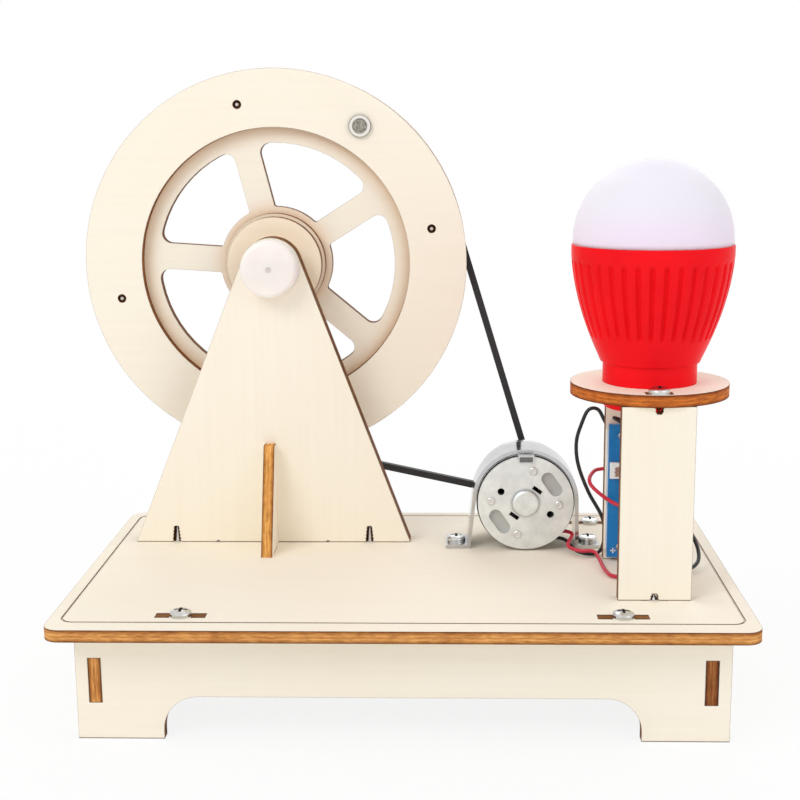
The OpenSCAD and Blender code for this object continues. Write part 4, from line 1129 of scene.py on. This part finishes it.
@dataclass
class Hardware:
    """Screws, nuts, shafts, caps, the belt and the crank's grip.

    Attributes:
        bolt: reflected colour of the crank's bolt.
        ring: profile of the moulding mark on the front axle cap, radius and height in millimetres.
    """

    zinc: MetalFinish = MetalFinish((0.66, 0.66, 0.64), (0.16, 0.3))
    steel: MetalFinish = MetalFinish((0.6, 0.6, 0.61), (0.2, 0.3))
    bolt: Color = (0.84, 0.81, 0.76)
    white: PlasticFinish = PlasticFinish((0.965, 0.9, 0.86), (0.38, 0.5), soft=0.2, shine=0.3)
    # Darker grey of the cap's mark: painted shade round it
    nub: PlasticFinish = PlasticFinish((0.74, 0.67, 0.63), (0.38, 0.5))
    wood: TurnedWoodFinish = TurnedWoodFinish((0.66, 0.42, 0.2), (0.5, 0.28, 0.11))
    rubber: PlasticFinish = PlasticFinish((0.022, 0.021, 0.022), (0.45, 0.6), grain=2600.0,
                                          relief=0.00004)
    ring: tuple[tuple[float, float], ...] = (
        (0, 0.02), (0.8, 0.02), (0.87, 0.1), (0.82, 0.2), (0.68, 0.24), (0.54, 0.18), (0.46, 0.07),
        (0.3, 0.04), (0, 0.04))

    def build(self, shop: Shop) -> None:
        """Dresses the fasteners, the turning parts and the belt, and marks the cap.

        Args:
            shop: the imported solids.
        """
        shop.dress(self.zinc, "zinc_plate", "base_screws", "stand_screws", "rim_screws",
                   "strap_screws", "lamp_stand_screws", "disc_screws", "crank_jam_nut",
                   "crank_lock_nut")
        shop.dress(self.steel, "drawn_steel", "axle", "motor_shaft")
        bolt = shop.middle("crank_bolt")
        shop.dress(BoltFinish((bolt.x, bolt.z), self.bolt), "bolt_steel", "crank_bolt")
        shop.dress(self.white, "white_moulding", "front_axle_cap", "rear_axle_cap", "axle_washer",
                   "axle_bush", "motor_pulley")
        shop.dress(self.wood, "turned_wood", "crank_grip")
        shop.dress(self.rubber, "belt_rubber", "drive_belt")
        self._cap_mark(shop)

    def _cap_mark(self, shop: Shop) -> None:
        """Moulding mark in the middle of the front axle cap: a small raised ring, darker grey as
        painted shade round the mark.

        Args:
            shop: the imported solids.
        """
        place = shop.middle("front_axle_cap")
        place.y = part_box("front_axle_cap")[0].y
        mark = forwards(turned(np.array(self.ring) * MM, columns=24), place)
        add_piece("axle_cap_mark", mark, self.nub.material("cap_mark"), "wheel")


@dataclass
class Motor:
    """The motor's shell, strap and inner parts.

    Attributes:
        strap_set: distance from the end cap's face to the strap, in metres.
        lug_z: height of the middle of the lug's face over the motor's axis, in metres.
        lug_size: width, height and thickness of the lug's face, in millimetres.
        lug_gap: half the opening for the lug in the dark band of painted shade round the end cap, in
            degrees.
        stakes: rivet marks across and up from the motor's axis, in millimetres.
        rivet: profile of a rivet mark, radius and height in millimetres.
    """

    strap_set: float = 0.0022
    lug_z: float = 0.01465
    lug_size: tuple[float, float, float] = (4.3, 1.7, 0.16)
    lug_gap: float = 10.5
    stakes: tuple[tuple[float, float], ...] = (
        (2.4, 10.6), (10.8, -0.6), (-11.2, 0.6), (-2.6, -10.6))
    rivet: tuple[tuple[float, float], ...] = (
        (0, 0.04), (1.3, 0.04), (1.34, 0.12), (1.28, 0.28), (1.1, 0.4), (0.9, 0.44), (0.7, 0.38),
        (0.52, 0.31), (0.36, 0.315), (0.2, 0.37), (0, 0.4))
    can: MetalFinish = MetalFinish((0.68, 0.68, 0.68), (0.2, 0.34), (2200.0, 60.0, 2200.0))
    cap: MetalFinish = MetalFinish((0.865, 0.89, 0.88), (0.42, 0.54))
    # Dark steel that paints the shade on the lug's inner face
    lug: MetalFinish = MetalFinish((0.2, 0.2, 0.2), (0.4, 0.55))
    strap: MetalFinish = MetalFinish((0.6, 0.6, 0.61), (0.1, 0.2))
    stake: MetalFinish = MetalFinish((0.8, 0.8, 0.79), (0.24, 0.34))
    # Near-black band that paints the shade in the gap round the end cap
    gap_shade: PlasticFinish = PlasticFinish((0.012, 0.012, 0.012), (0.5, 0.65), shine=0.2)
    card: PlasticFinish = PlasticFinish((0.5, 0.505, 0.48), (0.35, 0.5), soft=0.1)
    carbon: PlasticFinish = PlasticFinish((0.03, 0.03, 0.03), (0.6, 0.75))
    brass: MetalFinish = MetalFinish((0.78, 0.56, 0.24), (0.25, 0.4))
    copper: MetalFinish = MetalFinish((0.75, 0.33, 0.16), (0.28, 0.42))
    iron: MetalFinish = MetalFinish((0.32, 0.32, 0.33), (0.4, 0.55))
    ferrite: PlasticFinish = PlasticFinish((0.06, 0.06, 0.065), (0.5, 0.65))

    def build(self, shop: Shop) -> None:
        """Dresses the motor's nodes and adds the small pieces on its front.

        Args:
            shop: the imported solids.
        """
        shop.dress(self.can, "motor_can_zinc", "motor_can")
        shop.dress(self.cap, "motor_cap_zinc", "motor_end_cap")
        shop.dress(self.strap, "strap_nickel", "motor_strap")
        shop.dress(self.card, "brush_card", "motor_brush_card")
        shop.dress(self.carbon, "brush_carbon", "motor_brushes")
        shop.dress(self.brass, "bush_brass", "front_motor_bush", "rear_motor_bush",
                   "motor_terminals")
        shop.dress(self.copper, "coil_copper", "armature_windings", "commutator")
        shop.dress(self.iron, "core_iron", "armature_core")
        shop.dress(self.ferrite, "magnet_ferrite", "motor_magnets")
        axis = shop.middle("motor_shaft")
        self._stakes(axis)
        self._lug_face(axis)
        self._gap_shade(axis)

    def _stakes(self, axis: Vector) -> None:
        """Rivet marks on the end cap: a raised ring with a dot in its middle, on each stake.

        Args:
            axis: a point on the motor's axis.
        """
        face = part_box("motor_strap")[0].y - self.strap_set
        rivet = turned(np.array(self.rivet) * MM, columns=32)
        marks = joined([forwards(rivet, (axis.x + x * MM, face, axis.z + z * MM))
                        for x, z in self.stakes])
        add_piece("cap_stakes", marks, self.stake.material("stake_steel"), "base")

    def _lug_face(self, axis: Vector) -> None:
        """Painted shade on the folded lug's inner face over the end cap: a thin dark rounded plate on
        it.

        Args:
            axis: a point on the motor's axis.
        """
        low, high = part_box("motor_can")
        place = ((low.x + high.x) / 2, low.y + 0.04 * MM, axis.z + self.lug_z)
        face = forwards(block([side * MM for side in self.lug_size], 0.3 * MM, 0.06 * MM), place)
        steel = self.lug.material("lug_shadow_steel")
        add_piece("cap_lug_face", face, steel, "base")

    def _gap_shade(self, axis: Vector) -> None:
        """Painted shade in the gap between the end cap and the can: a near-black rounded band, open
        where the lug passes it.

        Args:
            axis: a point on the motor's axis.
        """
        # Inner and outer radius, thickness, edge and gap in millimetres
        low, high, thick, edge, gap = 15.0, 15.86, 0.33, 0.08, 0.02
        section = np.array([(low, -gap), (low, -thick), (high - edge, -thick),
                            (high, edge - thick), (high, -gap - edge), (high - edge, -gap)]) * MM
        band = hoop(section, 90.0 + self.lug_gap, 450.0 - self.lug_gap, columns=120)
        ring = forwards(band, (axis.x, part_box("motor_end_cap")[1].y, axis.z))
        add_piece("cap_gap_shade", ring, self.gap_shade.material("gap_shade_black"), "base")


@dataclass
class Lamp:
    """The lamp: fluted red bowl, frosted globe, and the light board inside.

    Attributes:
        tail_r: radius of the tail through the round top.
        tail_z: lowest point of the tail, from the round top's upper face.
        neck_r: radius of the neck.
        neck_h: height of the neck.
        bowl_r: radius just above the neck.
        rim_r: radius at the joint with the globe.
        rim_h: height of that joint.
        edge: radius of the bowl's small edges.
        step: depth of the step inside the rim.
        globe_r: radius of the globe.
        globe_skirt: height of the globe's straight part.
        wall: wall of the bowl and the globe.
        flutes: number of grooves round the bowl.
        flute_low: height where the grooves start.
        flute_high: height where they end.
        flute_ends: length of the rounded lower and upper end of a groove.
        flute_depth: depth of a groove.
        flute_turn: turn of the grooves about the lamp's axis, in degrees.
        flute_side: half width of a groove and width of its side, as shares of the sine.
        frost: colour of the globe at its lower edge, above and at the top; the pink at the lower edge
            is painted reflection of the bowl and the darker top is painted shade.
    """

    tail_r: float = 0.0135
    tail_z: float = -0.0074
    neck_r: float = 0.0139
    neck_h: float = 0.0061
    bowl_r: float = 0.0149
    rim_r: float = 0.0237
    rim_h: float = 0.0408
    edge: float = 0.0004
    step: float = 0.0022
    globe_r: float = 0.0233
    globe_skirt: float = 0.0014
    wall: float = 0.0016
    flutes: int = 36
    flute_low: float = 0.0138
    flute_high: float = 0.0361
    flute_ends: tuple[float, float] = (0.0022, 0.0009)
    flute_depth: float = 0.0011
    flute_turn: float = 2.2
    flute_side: tuple[float, float] = (0.76, 0.62)
    red: PlasticFinish = PlasticFinish((0.95, 0.009, 0.015), (0.28, 0.38), shine=0.05)
    frost: tuple[Color, Color, Color] = (
        (0.9, 0.76, 0.93), (0.858, 0.824, 0.94), (0.775, 0.745, 0.85))
    mask: PlasticFinish = PlasticFinish((0.85, 0.85, 0.82), (0.35, 0.5))
    resin: PlasticFinish = PlasticFinish((0.86, 0.68, 0.16), (0.2, 0.3), soft=0.2)

    def build(self, shop: Shop) -> None:
        """Makes the bowl and the globe, and dresses what is inside.

        Args:
            shop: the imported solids.
        """
        low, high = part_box("lamp_disc")
        origin = np.array([(low.x + high.x) / 2, (low.y + high.y) / 2, high.z])
        self._bowl(origin)
        self._globe(origin)
        shop.dress(self.mask, "light_board_mask", "light_board")
        shop.dress(self.resin, "light_resin", "lights")

    def _groove(self, angle: Array, height: Array) -> Array:
        """Depth of the grooves: a valley with steep sides at every flute, rounded at both ends.

        Args:
            angle: angles about the lamp's axis.
            height: heights of the same points.

        Returns:
            The depth at each point.
        """
        half, slope = self.flute_side
        side = np.abs(np.sin((angle - np.radians(self.flute_turn)) * self.flutes / 2))
        valley = np.clip((half - side) / slope, 0.0, 1.0)
        valley = valley * valley * (3.0 - 2.0 * valley)
        low = np.clip((height - self.flute_low) / self.flute_ends[0], 0.0, 1.0)
        high = np.clip((self.flute_high - height) / self.flute_ends[1], 0.0, 1.0)
        return self.flute_depth * valley * np.sqrt(low * high)

    def _bowl(self, origin: Array) -> None:
        """Red bowl: tail, neck and a curved wall with grooves, open at the top.

        Args:
            origin: middle of the round top's upper face.
        """
        edge, neck, rim = self.edge, self.neck_h, self.rim_h
        inner_r, ledge, floor = self.rim_r - self.wall, rim - self.step, self.tail_z + self.wall
        # Control points of the outer wall, from just above the neck to just below the rim
        outer = bezier([(self.bowl_r, neck + 0.0008), (self.bowl_r + 0.0026, neck + 0.0065),
                        (self.rim_r - 0.0009, rim - 0.0168), (self.rim_r, rim - 0.0028)], 84)
        under = np.concatenate([
            [[0.0, self.tail_z]],
            arc((self.tail_r - edge, self.tail_z + edge), edge, -90, 0, 4),
            [[self.tail_r, 0.0], [self.neck_r, 0.0], [self.neck_r, edge]],
            [[self.neck_r, neck - edge], [self.neck_r, neck]],
            arc((self.bowl_r - 2 * edge, neck + 2 * edge), 2 * edge, -80, -8, 6)])
        profile = np.concatenate([
            under, outer[1:], arc((self.rim_r - edge, rim - edge), edge, 0, 90, 4),
            [[inner_r, rim], [inner_r, ledge], [inner_r - 0.0015, ledge]],
            [[self.bowl_r - self.wall, neck + 0.004], [self.tail_r - self.wall, floor]],
            [[0.0, floor]]])
        grooves = self._outer_groove(len(under) - 1, len(outer) - 1)
        points, faces = turned(profile, self.flutes * 16, grooves)
        add_piece("lamp_bowl", (points + origin, faces), self.red.material("red_moulding"),
                  "base", "lamp_body")

    def _outer_groove(self, first: int, count: int) -> Callable[[Array, Array], Array]:
        """Grooves on the outer wall only: rows that lie inside the wall are left plain.

        Args:
            first: first row of the bowl's outer wall.
            count: number of its rows.

        Returns:
            The depth as a function of angle and height.
        """
        rows = slice(first, first + count)

        def depth(angle: Array, height: Array) -> Array:
            """Groove depth on the outer rows, and zero on the others.

            Args:
                angle: angles about the lamp's axis.
                height: heights of the same points.

            Returns:
                The depth at each point.
            """
            cut = np.zeros_like(height)
            cut[rows] = self._groove(angle[rows], height[rows])
            return cut

        return depth

    def _globe(self, origin: Array) -> None:
        """Frosted globe: a short straight wall under a half sphere, as a shell.

        Args:
            origin: middle of the round top's upper face.
        """
        inner = self.globe_r - self.wall
        top = self.rim_h + self.globe_skirt
        profile = np.concatenate([
            [[0.0, top + inner]], arc((0.0, top), inner, 90, 0, 40)[1:],
            [[inner, self.rim_h], [self.globe_r, self.rim_h]],
            arc((0.0, top), self.globe_r, 0, 90, 48)[:-1], [[0.0, top + self.globe_r]]])
        points, faces = turned(profile, columns=160)
        finish = GlobeFinish(*self.frost, origin[2] + self.rim_h, self.globe_skirt + self.globe_r)
        add_piece("lamp_globe", (points + origin, faces), finish.material("frosted_moulding"),
                  "base", "lamp_dome")


@dataclass
class Regulator:
    """The regulator board with its parts, solder and one polarity mark.

    Attributes:
        chip: left edge and bottom on the board, width, height and depth of the small white part,
            in millimetres.
        patch: bottom, top and left side of its brown patch from its middle, as shares of its size.
        mark: middle of the polarity mark from the board's lower left corner, its size and the width
            of a bar, in millimetres.
        corner: the board's lower left corner in the frame.
    """

    chip: tuple[float, float, float, float, float] = (0.32, 26.02, 3.06, 5.16, 1.7)
    patch: tuple[float, float, float] = (-0.36, 0.24, -0.02)
    mark: tuple[float, float, float, float] = (1.9, 2.2, 1.7, 0.42)
    blue: BoardFinish = BoardFinish((0.008, 0.19, 0.53), (0.014, 0.245, 0.62))
    resin: PlasticFinish = PlasticFinish((0.03, 0.03, 0.032), (0.4, 0.55))
    tape: PlasticFinish = PlasticFinish((0.92, 0.92, 0.9), (0.6, 0.75), relief=0.00008)
    tin: MetalFinish = MetalFinish((0.7, 0.7, 0.68), (0.15, 0.3))
    ink: PlasticFinish = PlasticFinish((0.85, 0.86, 0.86), (0.5, 0.6))
    corner: Vector = field(init=False)

    def build(self, shop: Shop) -> None:
        """Dresses the board's nodes and adds the small pieces on it.

        Args:
            shop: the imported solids.
        """
        shop.dress(self.blue, "board_mask", "regulator_board")
        shop.dress(self.resin, "part_resin", "board_parts")
        shop.dress(self.tape, "foam_tape", "board_tape")
        shop.dress(self.tin, "tinned", "solder_pads", "board_capacitors")
        self.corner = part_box("regulator_board")[0]
        self._chip()
        self._mark()
        self._solder(shop)

    def _place(self, x: float, z: float) -> tuple[float, float, float]:
        """Point on the board's front face, from its lower left corner in millimetres."""
        return self.corner.x + x * MM, self.corner.y, self.corner.z + z * MM

    def _chip(self) -> None:
        """Small white part with a brown patch: a rounded block over its solid."""
        x, z, wide, tall, deep = self.chip
        place = self._place(x + wide / 2, z + tall / 2)
        low, high, left = self.patch
        finish = ChipFinish(place[2] + low * tall * MM, place[2] + high * tall * MM,
                            place[0] + left * wide * MM)
        part = forwards(block((wide * MM, tall * MM, deep * MM), 0.25 * MM, 0.2 * MM), place)
        add_piece("board_chip", part, finish.material("chip_white"), "base")

    def _mark(self) -> None:
        """Polarity mark: two crossed bars of ink on the board."""
        x, z, size, bar = self.mark
        place = self._place(x, z)
        bars = [forwards(block((a * MM, b * MM, 0.05 * MM), 0.1 * MM, 0.02 * MM), place)
                for a, b in ((size, bar), (bar, size))]
        ink = self.ink.material("white_ink")
        add_piece("board_mark", joined(bars), ink, "base")

    def _solder(self, shop: Shop) -> None:
        """Solder round each wire's end: a cone with hollow flanks, from the pad up to the wire.

        The radius falls with the 2.2th power of the share of the height that is left.

        Args:
            shop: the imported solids.
        """
        # Radius and height in millimetres
        rise = np.linspace(0.0, 1.0, 9)
        flank = np.stack([0.62 + 0.63 * (1 - rise) ** 2.2, 0.02 + 1.5 * rise], axis=-1)
        cone = turned(np.concatenate([[[0.0, 0.02]], flank, [[0.0, 1.56]]]) * MM, columns=28)
        blobs = joined([forwards(cone, place) for place in shop.pads()])
        add_piece("solder_blobs", blobs, self.tin.material("solder_tin"), "base")


@dataclass
class Leads:
    """The four wires, as routes in millimetres from the foot of the lamp stand's rear plate.

    Attributes:
        thick: diameter of a wire in metres.
        steps: curve steps between two route points.
        round_steps: steps round a quarter of a wire's section.
        tab: distance of a wire from the end of a motor terminal, in metres.
        tab_run: straight run out of a motor terminal, in metres.
        pad_run: straight run out of a pad, in metres.
        tail_run: straight run out of the lamp's tail, in metres.
        apart: distance of the lamp's wires from its axis, in metres.
        motor_red_way: from the upper terminal to the left low pad.
        motor_black_way: from the lower terminal, by a hairpin and a loop, to the right low pad.
        lamp_red_way: from the right high pad to the lamp's tail.
        lamp_black_way: from the left high pad to the lamp's tail.
    """

    thick: float = 0.0012
    steps: int = 6
    round_steps: int = 5
    tab: float = 0.0007
    tab_run: float = 0.002
    pad_run: float = 0.0044
    tail_run: float = 0.0035
    apart: float = 0.0035
    motor_red_way: Route = (
        (-19.6, 9.8, 5.1), (-21.4, 4.2, 3.1), (-18, 1.4, 2.3), (-13.7, -0.4, 2.7),
        (-12.5, -5.2, 1.9), (-11.6, -14.1, 1.1), (-9.9, -19.4, 0.8), (-6.5, -21.2, 1.3),
        (-2.5, -20.8, 3), (-2, -14.7, 4.4))
    motor_black_way: Route = (
        (-21.7, 10.2, 3.1), (-19.2, 5.1, 1.6), (-17.1, 2.6, 1.2), (-14.1, 2.2, 0.9),
        (-11.6, 4.1, 1), (-10.2, 5.3, 2.7), (-9.6, 5.7, 7), (-10.6, 5.8, 12.6),
        (-15, 5.8, 20.6), (-18.4, 5.8, 29.6), (-19.1, 5.8, 37), (-17.5, 5.8, 43.1),
        (-15.4, 5.8, 47.5), (-12.4, 5.8, 47.6), (-10, 5.6, 43.5), (-5, 5.4, 35),
        (3, 5.4, 23), (12, 4.4, 13.6), (17.6, -3, 7.6), (17.6, -11.4, 3),
        (12, -16.6, 1.6), (7, -13.4, 3.4))
    lamp_red_way: Route = (
        (3.5, -12, 31), (-1.5, -9.8, 20.7), (-7.5, -5.8, 19.7), (-15, -1.7, 24.8),
        (-13.5, 4.4, 27.8), (-7.5, 7.2, 29), (2.5, 7.4, 37), (10.4, 6.4, 42),
        (13.8, 2.4, 45.8), (10.1, -5, 46.8), (5, -15.3, 48.6))
    lamp_black_way: Route = (
        (-2.9, -10.1, 45.6), (-10, -16.5, 49.6), (-7.2, -20.5, 48.7), (-4.7, -20.3, 48.6))

    def build(self, shop: Shop) -> None:
        """Makes the wires between the motor's terminals, the board's pads and the lamp's tail.

        Args:
            shop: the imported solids.
        """
        red_tab, black_tab = self._tabs(shop)
        left_low, left_high, right_low, right_high = shop.pads()
        tail = shop.middle("lamp_body")
        tail.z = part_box("lamp_body")[0].z
        aside = Vector((self.apart, 0, 0))
        tab_run = Vector((self.tab_run, 0, 0))
        pad_run = Vector((0, -self.pad_run, 0))
        tail_run = Vector((0, 0, -self.tail_run))
        for node, sleeve, start, way, end in (
                ("motor_lead_red", Sleeve.RED, (red_tab, tab_run),
                 self.motor_red_way, (left_low, pad_run)),
                ("motor_lead_black", Sleeve.BLACK, (black_tab, tab_run),
                 self.motor_black_way, (right_low, pad_run)),
                ("lamp_lead_red", Sleeve.RED, (right_high, pad_run),
                 self.lamp_red_way, (tail + aside, tail_run)),
                ("lamp_lead_black", Sleeve.BLACK, (left_high, pad_run),
                 self.lamp_black_way, (tail - aside, tail_run))):
            self._lead(node, sleeve, start, way, end)

    def _tabs(self, shop: Shop) -> tuple[Vector, Vector]:
        """Ends of the wires on the motor: the black one is lower, as far from the axis as the red.

        Args:
            shop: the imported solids.

        Returns:
            The red and the black wire's end.
        """
        low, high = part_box("motor_terminals")
        motor = shop.middle("motor_shaft")
        middle = (low.y + high.y) / 2
        red = Vector((high.x, middle, high.z - self.tab))
        drop = low.z + self.tab - motor.z
        ring = math.hypot(red.x - motor.x, red.z - motor.z)
        across = math.sqrt(ring * ring - drop * drop)
        return red, Vector((motor.x + across, middle, motor.z + drop))

    def _smooth(self, route: Array) -> Array:
        """A smooth curve through the route: cubic spans, each point's slope set by its neighbours.

        Args:
            route: rows of points.

        Returns:
            Rows of points on the curve.
        """
        ends = np.concatenate([[2 * route[0] - route[1]], route, [2 * route[-1] - route[-2]]])
        before, here, after, beyond = (ends[i:len(ends) - 3 + i, None, :] for i in range(4))
        t = (np.arange(self.steps) / self.steps)[None, :, None]
        curve = 0.5 * (2 * here + (after - before) * t
                       + (2 * before - 5 * here + 4 * after - beyond) * t ** 2
                       + (3 * here - 3 * after + beyond - before) * t ** 3)
        return np.concatenate([curve.reshape(-1, 3), route[-1:]])

    def _lead(self, node: str, sleeve: Sleeve, start: tuple[Vector, Vector], way: Route,
              end: tuple[Vector, Vector]) -> None:
        """Args:
            node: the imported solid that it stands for.
            sleeve: the wire's colour.
            start: first point and the straight run out of it.
            way: route points in millimetres from the stand's foot.
            end: last point and the straight run out of it.
        """
        low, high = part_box("lamp_stand_rear")
        foot = np.array(((low.x + high.x) / 2, low.y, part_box("base_plate")[1].z))
        line = self._smooth(np.concatenate([
            [start[0], start[0] + start[1]], np.array(way, float) * MM + foot,
            [end[0] + end[1], end[0]]]))
        data = bpy.data.curves.new(f"{node}_wire", "CURVE")
        data.dimensions, data.use_fill_caps = "3D", True
        data.bevel_depth, data.bevel_resolution = self.thick / 2, self.round_steps
        spline = data.splines.new("POLY")
        spline.points.add(len(line) - 1)
        spline.points.foreach_set("co", np.c_[line, np.ones(len(line))].ravel())
        finish = PlasticFinish(sleeve.value, (0.3, 0.42), coat=0.1)
        data.materials.append(finish.material(f"{node}_sleeve"))
        wire = put(f"{node}_wire", data)
        declare(wire, "base", node)


def main() -> None:
    """Loads the frame, dresses it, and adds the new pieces."""
    logging.basicConfig(level=logging.INFO, format="%(name)s: %(message)s")
    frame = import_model()
    shop = Shop(frame)
    PhotoCamera().build()
    Studio().build()
    for part in (Leads(), Plywork(), Hardware(), Motor(), Lamp(), Regulator()):
        part.build(shop)


if __name__ == "__main__":
    main()
